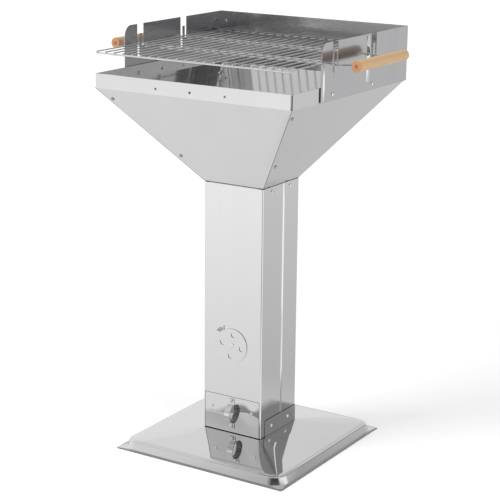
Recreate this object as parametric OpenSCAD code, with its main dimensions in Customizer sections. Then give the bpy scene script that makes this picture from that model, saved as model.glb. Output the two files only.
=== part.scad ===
// Funnel charcoal grill: four sheet panels on a square column, with a wind shield, a lift-out grate,
// an ash drawer and an air disc. Lengths are in millimetres. The origin is the centre of the base at
// floor level, +Z is up, and the ash drawer and the air disc face -Y.

/* [Base pan] */
// Overall width of the base, over its hemmed flange
base_w = 432; // [410:1:470]
// Width of the flange that runs round the pan
flange_w = 7; // [5:0.5:12]
// Thickness of the folded flange
flange_h = 2.6; // [2:0.1:3.4]
// How far the skirt leans in from its foot to the pan's edge
skirt_draft = 6; // [3:0.5:9]
// Height of the pan's edge above the floor
pan_edge_h = 19; // [14:0.5:26]
// Rise of the pan from its edge to the flat seat of the column
pan_rise = 18.7; // [12:0.1:26]
// Leg of the bevel across each corner at the pan's edge
pan_bevel = 17; // [10:1:24]
// Extra leg of that bevel at the foot of the skirt
pan_bevel_flare = 5; // [2:1:8]
// Margin of the flat seat round the column
seat_margin = 3; // [2:0.5:8]

/* [Column] */
// Width of the square column
column_w = 150; // [144:1:160]
// Height of the column
column_h = 568; // [500:1:640]
// Radius of the column's bends
column_bend = 3; // [2:0.5:4]
// Place of the upright seam on both sides, from the column's middle
seam_y = 11.5; // [0:0.5:20]
// Width of the open seam line
seam_gap = 1; // [0.6:0.1:1.6]
// Width of the rear channel's lap behind the front channel
lap_w = 18; // [12:1:22]
// Distance between the two screws on each side at the column's top
top_screw_pitch = 75; // [60:1:90]
// Drop of those screws below the column's top
top_screw_drop = 12; // [10:0.5:16]

/* [Foot cradle] */
// Distance of the cradle's front end from the column's front
cradle_front_in = 19; // [14:0.5:25]
// Distance of the cradle's rear end from the column's rear
cradle_rear_in = 1; // [0:0.5:8]
// Height of the cradle's side legs above its web
cradle_h = 37; // [32:1:45]
// Distance between the two screws in each leg
cradle_screw_pitch = 70; // [60:1:80]
// Height of those screws above the web
cradle_screw_h = 18.5; // [15:0.5:21]

/* [Ash drawer] */
// Distance of the drawer's front from the column's sides
drawer_in = 4; // [4:0.5:7]
// Height of the drawer's front
drawer_h = 83.5; // [78:0.5:95]
// Gap round the drawer's front
drawer_gap = 0.8; // [0.5:0.1:1]
// Gap between the ash tray and the column's side walls
tray_side_gap = 12; // [12:0.5:18]
// Gap between the ash tray and the column's rear wall
tray_rear_gap = 24; // [12:1:48]
// Height of the ash tray
tray_h = 80; // [77:1:82]
// Clearance below the ash tray
tray_clear = 0.3; // [0.2:0.1:0.8]
// Distance of the drawer's two rivets from the sides of its front
drawer_rivet_in = 19; // [17:0.5:30]
// Height of those rivets above the drawer's lower edge
drawer_rivet_h = 54.6; // [40:0.1:70]

/* [Strap handle] */
// Width of the strap
strap_w = 14.5; // [12:0.5:20]
// Thickness of the strap
strap_t = 1.2; // [1:0.1:2]
// Outer radius of the strap's arch
strap_r = 21.5; // [18:0.5:22]
// Distance from the arch's middle to each screw
strap_screw = 30; // [28:0.5:31]
// Height of the arch's middle above the drawer's lower edge
strap_h = 44.6; // [41:0.1:45]

/* [Air disc] */
// Height of the disc's centre above the column's foot
disc_h = 205.3; // [180:0.1:300]
// Diameter of the disc
disc_d = 77; // [72:1:90]
// Diameter of each air hole
vent_d = 13; // [9:0.5:14]
// Diameter of the circle on which the holes lie
vent_pcd = 50; // [44:1:54]
// Number of air holes
vent_count = 4; // [3:1:4]
// Turn of the disc's holes at rest, clockwise seen from the front
vent_turn = 9; // [0:1:20]
// Bearing of the finger tab, from +X towards +Z
ear_angle = 131; // [120:1:145]
// Width of the finger tab
ear_w = 13; // [9:0.5:16]
// Length of the finger tab past its bend
ear_l = 12.5; // [8:0.5:18]
// Angle by which the tab is bent out from the disc
ear_bend = 50; // [30:5:80]
// Running clearance of the disc on its rivet
disc_fit = 0.05; // [0.03:0.01:0.08]

/* [Funnel] */
// Width over the rim
rim_w = 482.6; // [440:0.1:520]
// Height of the sloping part
funnel_h = 209.2; // [180:0.1:240]
// Height of the upright rim band
band_h = 30.8; // [29:0.1:40]
// Height of the hem folded inwards along the rim
rim_hem_h = 8; // [5:0.5:9]
// Open notch at each rim corner
rim_notch = 3; // [2.5:0.5:5]
// Open seam along each sloping corner
corner_seam = 0.8; // [0.5:0.1:1.5]
// Width of the flange that each panel puts behind its neighbour
panel_flange_w = 24; // [21:1:28]
// Distance of the lower panel screws from the corner
panel_screw_low_in = 18; // [12:0.5:19]
// Distance of the upper panel screws from the corner
panel_screw_high_in = 14; // [12:0.5:19]
// Height of the lower panel screws above the column
panel_screw_low = 59.5; // [45:0.5:80]
// Height of the upper panel screws above the column
panel_screw_high = 186; // [150:0.5:189]
// Height of the panel's skirt inside the column
skirt_h = 26; // [22:1:32]
// Distance between neighbouring holes in the rim band
rim_hole_pitch = 85; // [70:1:95]
// Height of those holes above the bend
rim_hole_h = 12.2; // [12:0.1:13]
// Diameter of those holes
rim_hole_d = 5.4; // [5.2:0.1:6]

/* [Wind shield] */
// Height of the shield's walls
shield_h = 120; // [112:1:140]
// Drop of the walls below the rim's bend
shield_drop = 1; // [0.5:0.1:2]
// Place of the side walls' front edge, behind the rim's front
shield_setback = 109; // [95:1:118]
// Radius of the front top corner
shield_corner = 22; // [12:1:30]
// Width of the hem folded outwards along the front edge
front_hem_w = 9; // [6:0.5:12]
// Height of the hem folded inwards along the lower edge
low_hem_h = 7; // [5:0.5:7.5]
// Width of the rear flange of each side wall
wall_flange_w = 26; // [24:1:34]
// Distance of the corner bolts from the side wall's outer face
corner_bolt_in = 16; // [12:0.5:17]
// Drop of the upper corner bolts below the top edge
corner_bolt_drop = 23; // [15:1:30]
// Distance between the two bolts of a corner
corner_bolt_pitch = 50; // [40:1:52]

/* [Height slots] */
// Width of each slot's open mouth
slot_w = 23; // [21:0.5:28]
// Place of the front slot's front edge, from the middle
slot_front_y = -88; // [-92:0.5:-80]
// Distance between the two slots of a wall
slot_pitch = 164; // [150:1:168]
// Depth of the mouth below the top edge
mouth_depth = 21; // [14:1:26]
// Width of the lower front channel
low_channel_w = 8; // [7:0.5:9]
// Depth of the lower front channel below the rest of the handle rods
low_channel_drop = 18; // [12:1:24]
// Width of the rear channel in which the handle rods rest
rest_channel_w = 6.5; // [6:0.1:7.5]

/* [Cooking grate] */
// Gap between the grate's end wires and the shield's walls, on each side
grate_side_gap = 3.6; // [2:0.1:8]
// Setback of the grate's front from the rim's front
grate_front_gap = 1.3; // [0:0.1:10]
// Gap between the grate's rear and the heads of the corner bolts
grate_rear_gap = 5.2; // [2:0.1:12]
// Height of the handle rods above the rim
rod_h = 38.6; // [34:0.1:45]
// Diameter of the handle rods
rod_d = 4.5; // [4:0.1:5]
// Length of the rods outside the walls before they turn up
rod_turn = 5; // [4:0.5:12]
// Diameter of the end wires and of the cross wires
cross_wire_d = 4; // [3.5:0.1:5]
// Diameter of the bars
bar_d = 3; // [2.5:0.1:4]
// Distance between the bars, to the nearest one that fills the width
bar_pitch = 22.5; // [15:0.5:30]
// Gap between the outer bars and the ends of the cross wires
bar_end_gap = 1.25; // [0.5:0.05:8]

/* [Grips] */
// Diameter of the wooden grips
grip_d = 23.5; // [20:0.5:28]
// Length of the wooden grips
grip_l = 211; // [196:1:230]
// Distance from the wall's outer face to the grip's axis
grip_reach = 56.4; // [48:0.1:70]
// Rise of the grip's axis above the rods
grip_rise = 4.2; // [1:0.1:8]
// Bevel of the grip's ends
grip_bevel = 1.6; // [1:0.1:3]
// Depth of the rod's hole past the grip's axis
grip_hole_past = 5; // [3:0.5:7]

/* [Charcoal grate] */
// Width over the charcoal grate's frame wire
charcoal_w = 340; // [290:1:380]
// Diameter of that frame wire and of the cross wires
charcoal_wire_d = 5; // [4:0.5:6]
// Diameter of its bars
charcoal_bar_d = 4; // [3:0.5:5]
// Distance between its bars
charcoal_pitch = 17; // [13:0.5:22]
// Bend radius of its corners
charcoal_bend = 12; // [8:1:16]
// Distance between its cross wires
charcoal_cross = 110; // [60:1:140]

/* [Sheet and fasteners] */
// Thickness of the steel sheet
sheet = 1; // [0.8:0.05:1.2]
// Thickness of the ash tray's sheet
tray_sheet = 0.8; // [0.6:0.05:1.2]
// Diameter of the screws
screw_d = 5; // [4:0.1:5]
// Diameter of the pan heads
head_d = 8.6; // [8:0.1:9]
// Height of the pan heads
head_h = 2.4; // [1.6:0.1:2.8]
// Width of the hexagon nuts across their flats
nut_af = 8; // [7.4:0.1:8.4]
// Height of the nuts
nut_h = 3.6; // [3:0.1:4]
// Diameter of the rivets
rivet_d = 4; // [3.2:0.1:4.8]
// Clearance of a screw or rivet in its hole, on the radius
hole_clear = 0.15; // [0.1:0.05:0.2]
// Clearance between neighbouring sheets that only pass each other
pass_gap = 0.3; // [0.2:0.05:0.4]
// Seat clearance between parts that lift off
seat_gap = 0.3; // [0.2:0.05:0.4]

/* [Hidden] */

// Steel and wood as the photograph shows them
bright = [0.86, 0.87, 0.88];
polished = [0.80, 0.81, 0.83];
wire_grey = [0.66, 0.66, 0.68];
screw_grey = [0.55, 0.56, 0.58];
inner_grey = [0.48, 0.49, 0.50];
beech = [0.90, 0.70, 0.42];

round_fn = 64;
wire_fn = 24;
// Depth of a cut past the face that it opens
over = 1;

// Heights from the floor up
pan_top = pan_edge_h + pan_rise;
column_z = pan_top + sheet;
column_top = column_z + column_h;
bend_z = column_top + funnel_h;
rim_top = bend_z + band_h;
drawer_z = column_z + drawer_gap;
disc_z = column_z + disc_h;
shield_z = bend_z - shield_drop;
shield_top = shield_z + shield_h;
rod_z = rim_top + rod_h;
cross_z = rod_z + rod_d / 2 + cross_wire_d / 2;
bar_z = cross_z + cross_wire_d / 2 + bar_d / 2;

// Half widths of the base, the column and the rim
pan_foot = base_w / 2 - flange_w;
pan_edge = pan_foot - skirt_draft;
col = column_w / 2;
rim = rim_w / 2;

// What stands in the column takes its size from the column's inner faces
cradle_l = column_w - cradle_front_in - cradle_rear_in;
cradle_y = (cradle_front_in - cradle_rear_in) / 2;
drawer_w = column_w - 2 * drawer_in;
tray_w = column_w - 2 * sheet - 2 * tray_side_gap;
tray_d = column_w - 2 * sheet - tray_rear_gap;
drawer_rivet_x = drawer_w / 2 - drawer_rivet_in;

// The slope of the funnel's panels
run = rim - col;
slope_l = sqrt(run * run + funnel_h * funnel_h);
slope = atan2(funnel_h, run);
// Width of a sheet of the slope, measured level
level_sheet = sheet * slope_l / funnel_h;
// Depth of the face on which a panel's nuts lie
lapped = 2 * sheet + pass_gap / 3;

// Faces of the wind shield, from the middle: the walls stand off the rim by a hem
wall_in = rim + pass_gap + sheet;
wall_out = wall_in + sheet;
wall_front = -rim + shield_setback;
screw_y = rim_hole_pitch;
screw_z = bend_z + rim_hole_h;
corner_bolt_x = wall_out - corner_bolt_in;

// The handle rods, which rest in the rear channel of each slot
rod_offset = slot_w - rest_channel_w / 2;
rod_y1 = slot_front_y + rod_offset;
rod_y2 = rod_y1 + slot_pitch;
grip_x = wall_out + grip_reach;
grip_y = (rod_y1 + rod_y2) / 2;
grip_z = rod_z + grip_rise;
// Where the rods turn up to the grips, at what angle, and how far they run on
rise_from = wall_out + rod_turn;
rise_angle = atan2(grip_rise, grip_x - rise_from);
rise_l = norm([grip_rise, grip_x - rise_from]) + grip_hole_past;

// Ends of the grate's wires and bars
grate_x = wall_in - grate_side_gap;
grate_front = -rim + grate_front_gap;
grate_rear = wall_in - sheet - head_h - grate_rear_gap;
bar_span = 2 * (grate_x - bar_end_gap - bar_d / 2);
bar_count = round(bar_span / bar_pitch) + 1;
bar_step = bar_span / (bar_count - 1);

// The charcoal grate rests on the flanges of the sloping panels
charcoal_x = charcoal_w / 2 - charcoal_wire_d / 2;
charcoal_off = (lapped + charcoal_wire_d / 2 + seat_gap) * slope_l / funnel_h;
charcoal_z = column_top + (charcoal_x + charcoal_off - col) * funnel_h / run;
charcoal_bar_z = charcoal_z + charcoal_wire_d / 2 + charcoal_bar_d / 2;
charcoal_count = 2 * floor((charcoal_x - charcoal_wire_d) / charcoal_pitch) + 1;

// Half width of the funnel at a distance up its slope
function panel_half(up) = col + run * up / slope_l;
// Distance up the slope of a height above the column
function up_slope(h) = h * slope_l / funnel_h;

// A square with round corners, from squares and circles so that its bends stay true arcs
module round_square(w, r) {
    square([w, w - 2 * r], center = true);
    square([w - 2 * r, w], center = true);
    for (sx = [-1, 1], sy = [-1, 1])
        translate([sx * (w / 2 - r), sy * (w / 2 - r)])
            circle(r, $fn = round_fn);
}

// A square with bevelled corners
module bevel_square(half, leg) {
    polygon([
        [half - leg, -half], [half, -half + leg], [half, half - leg], [half - leg, half],
        [-half + leg, half], [-half, half - leg], [-half, -half + leg], [-half + leg, -half]
    ]);
}

// A thin slice of a bevelled square at height z
module pan_slice(z, half, leg) {
    translate([0, 0, z])
        linear_extrude(0.01)
            bevel_square(half, leg);
}

// Children drawn flat in X and Z, at the plane y, growing towards -Y
module facing_front(y, z) {
    translate([0, y, z])
        rotate([90, 0, 0])
            children();
}

// Children drawn flat in Y and Z, at the plane x, growing towards +X
module facing_right(x) {
    translate([x, 0, 0])
        rotate([90, 0, 90])
            children();
}

// Children on both sides of the middle plane
module both_sides() {
    children();
    mirror([1, 0, 0])
        children();
}

// A pan-head screw: the head's seat is at the origin, the shank runs down
module screw(l) {
    difference() {
        union() {
            cylinder(h = head_h * 0.45, d = head_d, $fn = 32);
            translate([0, 0, head_h * 0.45])
                cylinder(h = head_h * 0.55, d1 = head_d, d2 = head_d * 0.62, $fn = 32);
        }
        translate([0, 0, head_h])
            for (a = [0, 90])
                rotate(a)
                    cube([head_d * 0.44, 0.9, 1.4], center = true);
    }
    translate([0, 0, -l])
        cylinder(h = l, d = screw_d, $fn = wire_fn);
}

// A hexagon nut that sits on the origin and grows upwards
module nut() {
    difference() {
        cylinder(h = nut_h, d = nut_af / cos(30), $fn = 6);
        translate([0, 0, -over])
            cylinder(h = nut_h + 2 * over, d = screw_d + 0.1, $fn = wire_fn);
    }
}

// A rivet: a domed head on the origin, a shank down through the grip and a closing head
module rivet(grip, head) {
    cylinder(h = 0.5, d = head, $fn = 32);
    translate([0, 0, 0.5])
        cylinder(h = 0.8, d1 = head, d2 = head * 0.6, $fn = 32);
    translate([0, 0, -grip])
        cylinder(h = grip, d = rivet_d, $fn = wire_fn);
    translate([0, 0, -grip - 1])
        cylinder(h = 1, d = rivet_d * 1.6, $fn = wire_fn);
}

// A straight wire from a to b
module wire(a, b, d) {
    v = b - a;
    l = norm(v);
    translate(a)
        rotate([0, acos(v[2] / l), atan2(v[1], v[0])])
            cylinder(h = l, d = d, $fn = wire_fn);
}

// A ring of wire round a rectangle of half sizes hx and hy, with bends of radius r
module wire_ring(hx, hy, r, d) {
    for (s = [-1, 1]) {
        wire([s * hx, -hy + r, 0], [s * hx, hy - r, 0], d);
        wire([-hx + r, s * hy, 0], [hx - r, s * hy, 0], d);
    }
    for (q = [[1, 1, 0], [-1, 1, 90], [-1, -1, 180], [1, -1, 270]])
        translate([q[0] * (hx - r), q[1] * (hy - r), 0])
            rotate(q[2])
                rotate_extrude(angle = 90, $fn = round_fn)
                    translate([r, 0])
                        circle(d = d, $fn = wire_fn);
}

// Base pan: a pressed sheet with a hemmed flange, a leaning skirt and a low pyramid up to the column
module pan_solid(inset) {
    foot_leg = pan_bevel + pan_bevel_flare;
    hull() {
        pan_slice(inset > 0 ? -over : 0, pan_foot - inset, foot_leg);
        pan_slice(flange_h - inset, pan_foot - inset, foot_leg);
    }
    hull() {
        pan_slice(flange_h - inset, pan_foot - inset, foot_leg);
        pan_slice(pan_edge_h - inset, pan_edge - inset, pan_bevel);
    }
    hull() {
        pan_slice(pan_edge_h - inset, pan_edge - inset, pan_bevel);
        pan_slice(pan_top - inset - 0.01, col + seat_margin, seat_margin);
    }
}

module base_pan() {
    color(polished)
        difference() {
            union() {
                translate([-base_w / 2, -base_w / 2, 0])
                    cube([base_w, base_w, flange_h]);
                pan_solid(0);
            }
            pan_solid(sheet);
            cradle_bolt_places()
                translate([0, 0, -over])
                    cylinder(h = pan_top + 2 * over, d = screw_d + 2 * hole_clear, $fn = wire_fn);
        }
}

// Places of the four bolts beside the ash tray
module cradle_bolt_places() {
    x = (tray_w / 2 + col - sheet) / 2;
    for (sx = [-1, 1], sy = [-1, 1])
        translate([sx * x, cradle_y + sy * (cradle_l / 2 - 14), 0])
            children();
}

// Foot cradle: a web under the column and two legs up its sides
module foot_cradle() {
    half = col + sheet;
    color(polished)
        difference() {
            union() {
                translate([-half, cradle_y - cradle_l / 2, pan_top])
                    cube([2 * half, cradle_l, sheet]);
                both_sides()
                    translate([col, cradle_y - cradle_l / 2, pan_top])
                        cube([sheet, cradle_l, cradle_h + sheet]);
            }
            cradle_bolt_places()
                translate([0, 0, pan_top - over])
                    cylinder(h = sheet + 2 * over, d = screw_d + 2 * hole_clear, $fn = wire_fn);
            foot_screw_places()
                screw_hole();
        }
}

module cradle_bolts() {
    color(screw_grey)
        cradle_bolt_places()
            translate([0, 0, pan_top + sheet])
                screw(2 * sheet + nut_h + 1);
}

module cradle_nuts() {
    color(screw_grey)
        cradle_bolt_places()
            translate([0, 0, pan_top - sheet])
                mirror([0, 0, 1])
                    nut();
}

// A clear hole through two or three sheets, along the local axis
module screw_hole() {
    translate([0, 0, -5 * sheet])
        cylinder(h = 8 * sheet, d = screw_d + 2 * hole_clear, $fn = wire_fn);
}

// Places of the screws in the cradle's legs, with the local axis pointing out of the column
module foot_screw_places() {
    both_sides()
        for (s = [-1, 1])
            translate([col + sheet, cradle_y - 4 + s * cradle_screw_pitch / 2, column_z + cradle_screw_h])
                rotate([0, 90, 0])
                    children();
}

module foot_screws() {
    color(screw_grey)
        foot_screw_places()
            screw(2 * sheet + nut_h + 0.6);
}

module foot_nuts() {
    color(screw_grey)
        foot_screw_places()
            translate([0, 0, -2 * sheet])
                mirror([0, 0, 1])
                    nut();
}

// The closed outline of the column's sheet
module column_outline() {
    difference() {
        round_square(column_w, column_bend);
        round_square(column_w - 2 * sheet, column_bend - sheet);
    }
}

// Places of the screws at the column's top, with the local axis pointing out of the column
module column_screw_places() {
    both_sides()
        for (s = [-1, 1])
            translate([col, s * top_screw_pitch / 2, column_top - top_screw_drop])
                rotate([0, 90, 0])
                    children();
}

// Holes of one air pattern, turned by a, through a sheet of the given depth
module vent_pattern(a) {
    for (i = [0 : vent_count - 1])
        rotate(a + i * 360 / vent_count)
            translate([vent_pcd / 2, 0])
                circle(d = vent_d, $fn = 48);
}

// Front channel: the face with the drawer's opening and the air holes, and the sides up to the seam
module column_front() {
    opening_w = drawer_w + 2 * drawer_gap;
    opening_h = drawer_h + 2 * drawer_gap;
    color(bright)
        difference() {
            translate([0, 0, column_z])
                linear_extrude(column_h)
                    intersection() {
                        column_outline();
                        translate([-column_w, -column_w])
                            square([2 * column_w, column_w + seam_y - seam_gap / 2]);
                    }
            translate([-opening_w / 2, -col - over, column_z - over])
                cube([opening_w, sheet + 2 * over, opening_h + over]);
            facing_front(-col + sheet + over, disc_z)
                linear_extrude(sheet + 2 * over) {
                    vent_pattern(180 / vent_count - vent_turn);
                    circle(d = rivet_d + 2 * hole_clear, $fn = wire_fn);
                }
            foot_screw_places()
                screw_hole();
            column_screw_places()
                screw_hole();
        }
}

// Rear channel: the back, the sides from the seam, and a lap behind the front channel
module column_rear() {
    lap_z = column_z + cradle_h;
    lap_h = column_h - cradle_h - skirt_h - 4;
    color(bright)
        difference() {
            union() {
                translate([0, 0, column_z])
                    linear_extrude(column_h)
                        intersection() {
                            column_outline();
                            translate([-column_w, seam_y + seam_gap / 2])
                                square([2 * column_w, column_w]);
                        }
                both_sides()
                    translate([col - 2 * sheet, seam_y - lap_w, lap_z])
                        cube([sheet, lap_w + 6, lap_h]);
            }
            foot_screw_places()
                screw_hole();
            column_screw_places()
                screw_hole();
        }
}

module column_screws() {
    color(screw_grey)
        column_screw_places()
            screw(2 * sheet + nut_h + 1);
}

module column_nuts() {
    color(screw_grey)
        column_screw_places()
            translate([0, 0, -2 * sheet])
                mirror([0, 0, 1])
                    nut();
}

// Finger tab of the air disc: a strip that leaves the rim and bends out, with its radius along X
module finger_tab() {
    root = disc_d / 2 + 2;
    tip = root + ear_l * cos(ear_bend);
    rise = ear_l * sin(ear_bend);
    rotate([90, 0, 0])
        linear_extrude(ear_w, center = true)
            polygon([
                [disc_d / 2 - 3, 0], [root, 0], [tip, rise],
                [tip - sheet * sin(ear_bend), rise + sheet * cos(ear_bend)],
                [root - sheet * tan(ear_bend / 2), sheet], [disc_d / 2 - 3, sheet]
            ]);
}

// Air disc: a plate with air holes, a running hole for its rivet, and the finger tab
module air_disc() {
    color(bright)
        facing_front(-col - pass_gap, disc_z) {
            linear_extrude(sheet)
                difference() {
                    circle(d = disc_d, $fn = 96);
                    vent_pattern(-vent_turn);
                    circle(d = rivet_d + 2 * disc_fit, $fn = wire_fn);
                }
            rotate(ear_angle)
                finger_tab();
        }
}

module air_disc_rivet() {
    color(screw_grey)
        facing_front(-col - sheet - 1.6 * pass_gap, disc_z)
            rivet(2 * sheet + 1.6 * pass_gap, 10);
}

// Places of the rivets that hold the tray to the drawer's front, with the local axis towards -Y
module drawer_rivet_places() {
    for (s = [-1, 1])
        translate([s * drawer_rivet_x, 0, 0])
            facing_front(-col, drawer_z + drawer_rivet_h)
                children();
}

// Places of the handle's screws, on the outer face of its feet
module handle_screw_places() {
    for (s = [-1, 1])
        facing_front(-col - strap_t, drawer_z + strap_h + s * strap_screw)
            children();
}

module drawer_front() {
    color(bright)
        difference() {
            translate([-drawer_w / 2, -col, drawer_z])
                cube([drawer_w, sheet, drawer_h]);
            drawer_rivet_places()
                rivet_hole();
            handle_screw_places()
                screw_hole();
        }
}

// A clear hole for a rivet, along the local axis
module rivet_hole() {
    translate([0, 0, -4 * sheet])
        cylinder(h = 6 * sheet, d = rivet_d + 2 * hole_clear, $fn = wire_fn);
}

// Ash tray: an open box behind the drawer's front
module ash_tray() {
    tray_z = column_z + tray_clear;
    color(inner_grey)
        difference() {
            translate([-tray_w / 2, -col + sheet, tray_z])
                cube([tray_w, tray_d, tray_h]);
            translate([-tray_w / 2 + tray_sheet, -col + sheet + tray_sheet, tray_z + tray_sheet])
                cube([tray_w - 2 * tray_sheet, tray_d - 2 * tray_sheet, tray_h]);
            drawer_rivet_places()
                rivet_hole();
            handle_screw_places()
                screw_hole();
        }
}

// Strap handle: half a ring between two flat feet
module drawer_handle() {
    foot_l = strap_screw + head_d / 2 + 1 - (strap_r - strap_t);
    middle = drawer_z + strap_h;
    color(bright)
        difference() {
            union() {
                translate([-strap_w / 2, -col, middle])
                    rotate([0, 90, 0])
                        difference() {
                            cylinder(h = strap_w, r = strap_r, $fn = round_fn);
                            translate([0, 0, -over])
                                cylinder(h = strap_w + 2 * over, r = strap_r - strap_t, $fn = round_fn);
                            translate([-2 * strap_r, 0, -over])
                                cube([4 * strap_r, 2 * strap_r, strap_w + 2 * over]);
                        }
                for (s = [0, 1])
                    translate([0, 0, middle])
                        mirror([0, 0, s])
                            translate([-strap_w / 2, -col - strap_t, strap_r - strap_t])
                                cube([strap_w, strap_t, foot_l]);
            }
            handle_screw_places()
                screw_hole();
        }
}

module drawer_rivets() {
    color(screw_grey)
        drawer_rivet_places()
            rivet(sheet + tray_sheet, 7);
}

module handle_screws() {
    color(screw_grey)
        handle_screw_places()
            screw(strap_t + sheet + tray_sheet + nut_h + 0.6);
}

module handle_nuts() {
    color(screw_grey)
        handle_screw_places()
            translate([0, 0, -strap_t - sheet - tray_sheet])
                mirror([0, 0, 1])
                    nut();
}

// The plane of the front panel: x along the rim, y up the slope, z out of the funnel
module on_panel() {
    translate([0, -col, column_top])
        rotate([180 - slope, 0, 0])
            children();
}

// Places of the panel screws near the panel's left edge, on its outer face
module panel_screw_places() {
    for (p = [[panel_screw_low_in, panel_screw_low], [panel_screw_high_in, panel_screw_high]])
        on_panel()
            translate([-panel_half(up_slope(p[1])) + p[0], up_slope(p[1]), 0])
                children();
}

// The strip of a panel that lies behind the left edge of the next one, drawn at that next panel
module panel_flange() {
    inset = 8;
    top = slope_l - sheet / 2;
    depth = lapped - sheet;
    lead = 0.4 * sheet;
    difference() {
        union() {
            on_panel()
                translate([0, 0, -lapped])
                    linear_extrude(sheet)
                        polygon([
                            [-panel_half(inset) - lead, inset],
                            [-panel_half(inset) + panel_flange_w, inset],
                            [-panel_half(top) + panel_flange_w, top],
                            [-panel_half(top) - lead, top]
                        ]);
            translate([-rim + rim_notch - 2, -rim + depth, bend_z + 0.4])
                cube([panel_flange_w - rim_notch + 2, sheet, band_h - 0.4 - 2 * sheet]);
        }
        panel_screw_places()
            screw_hole();
    }
}

// One funnel panel, drawn at the front: skirt, slope, rim band with its hem, and the right-hand flange
module funnel_panel() {
    trim = level_sheet + corner_seam;
    band = rim - rim_notch;
    skirt_w = 2 * (col - 12);
    ledge_in = 2 * sheet;
    hem_left = -rim + panel_flange_w + 2;
    hem_right = rim - rim_notch - 2 * sheet - 1;
    difference() {
        union() {
            on_panel()
                translate([0, 0, -sheet])
                    linear_extrude(sheet)
                        polygon([
                            [-col + trim, 0], [col, 0],
                            [rim, slope_l], [-rim + trim, slope_l]
                        ]);
            translate([-band, -rim, bend_z])
                cube([2 * band, sheet, band_h]);
            translate([hem_left, -rim, rim_top - rim_hem_h])
                cube([hem_right - hem_left, 2 * sheet, rim_hem_h]);
            translate([-skirt_w / 2, -col, column_top])
                cube([skirt_w, ledge_in, sheet]);
            translate([-skirt_w / 2, -col + sheet, column_top - skirt_h])
                cube([skirt_w, sheet, skirt_h + sheet]);
        }
        panel_screw_places()
            screw_hole();
        for (s = [-1, 0, 1])
            translate([s * rim_hole_pitch, -rim - over, screw_z])
                rotate([-90, 0, 0])
                    cylinder(h = sheet + 2 * over, d = rim_hole_d, $fn = wire_fn);
        for (s = [-1, 1])
            translate([s * top_screw_pitch / 2, -col, column_top - top_screw_drop])
                rotate([90, 0, 0])
                    screw_hole();
    }
    rotate(90)
        panel_flange();
}

module funnel_front() {
    color(polished)
        funnel_panel();
}

module funnel_right() {
    color(polished)
        rotate(90)
            funnel_panel();
}

module funnel_rear() {
    color(polished)
        rotate(180)
            funnel_panel();
}

module funnel_left() {
    color(polished)
        rotate(270)
            funnel_panel();
}

module funnel_screws() {
    color(screw_grey)
        for (a = [0 : 90 : 270])
            rotate(a)
                panel_screw_places()
                    screw(lapped + nut_h + 1);
}

module funnel_nuts() {
    color(screw_grey)
        for (a = [0 : 90 : 270])
            rotate(a)
                panel_screw_places()
                    translate([0, 0, -lapped])
                        mirror([0, 0, 1])
                            nut();
}

// One height slot: an open mouth, a low front channel, and the rear channel where the rod rests
module slot_outline() {
    mouth_z = shield_top - mouth_depth;
    low_z = rod_z - low_channel_drop;
    rest_r = rest_channel_w / 2;
    rest_z = rod_z - rod_d / 2 - seat_gap + rest_r;
    translate([0, mouth_z])
        square([slot_w, mouth_depth + over]);
    translate([0, low_z])
        square([low_channel_w, mouth_z - low_z + over]);
    translate([low_channel_w / 2, low_z])
        circle(d = low_channel_w, $fn = 32);
    translate([slot_w - rest_channel_w, rest_z])
        square([rest_channel_w, mouth_z - rest_z + over]);
    translate([slot_w - rest_r, rest_z])
        circle(r = rest_r, $fn = 32);
}

// Outline of a side wall in Y and Z, with its round front top corner and its two slots
module side_outline() {
    difference() {
        union() {
            translate([wall_front, shield_z])
                square([wall_in - wall_front, shield_h - shield_corner]);
            translate([wall_front + shield_corner, shield_z])
                square([wall_in - wall_front - shield_corner, shield_h]);
            translate([wall_front + shield_corner, shield_top - shield_corner])
                circle(r = shield_corner, $fn = round_fn);
        }
        for (i = [0, 1])
            translate([slot_front_y + i * slot_pitch, 0])
                slot_outline();
    }
}

// Places of the shield's screws, on the outer faces of the three walls
module shield_screw_places() {
    for (s = [-1, 1]) {
        both_sides()
            translate([wall_out, s * screw_y, screw_z])
                rotate([0, 90, 0])
                    children();
        translate([s * screw_y, wall_out, screw_z])
            rotate([-90, 0, 0])
                children();
    }
}

// Places of the corner bolts, on the inner face of the side walls' rear flanges
module corner_bolt_places() {
    both_sides()
        for (i = [0, 1])
            translate([corner_bolt_x, wall_in - sheet, shield_top - corner_bolt_drop - i * corner_bolt_pitch])
                rotate([90, 0, 0])
                    children();
}

// Right side wall: hemmed front edge, hemmed lower edge and a rear flange behind the back wall
module side_wall() {
    hem_h = shield_h - shield_corner;
    difference() {
        union() {
            facing_right(wall_in)
                linear_extrude(sheet)
                    side_outline();
            translate([wall_out, wall_front, shield_z])
                cube([sheet, front_hem_w, hem_h]);
            translate([wall_out, wall_front, shield_z])
                cylinder(h = hem_h, r = sheet, $fn = 32);
            translate([wall_in - sheet, wall_front + 6, shield_z])
                cube([sheet, wall_in - wall_front - wall_flange_w, low_hem_h]);
            translate([wall_out - wall_flange_w, wall_in - sheet, shield_z])
                cube([wall_flange_w, sheet, shield_h]);
        }
        shield_screw_places()
            screw_hole();
        corner_bolt_places()
            screw_hole();
    }
}

module shield_right() {
    color(polished)
        side_wall();
}

module shield_left() {
    color(polished)
        mirror([1, 0, 0])
            side_wall();
}

// Back wall: a flat sheet behind the flanges of the side walls, hemmed inwards along its lower edge
module shield_back() {
    hem = wall_out - wall_flange_w - 1;
    color(polished)
        difference() {
            union() {
                translate([-wall_out, wall_in, shield_z])
                    cube([2 * wall_out, sheet, shield_h]);
                translate([-hem, wall_in - sheet, shield_z])
                    cube([2 * hem, sheet, low_hem_h]);
            }
            shield_screw_places()
                screw_hole();
            corner_bolt_places()
                screw_hole();
        }
}

module shield_screws() {
    color(screw_grey)
        shield_screw_places()
            screw(3 * sheet + pass_gap + nut_h + 0.4);
}

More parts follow.
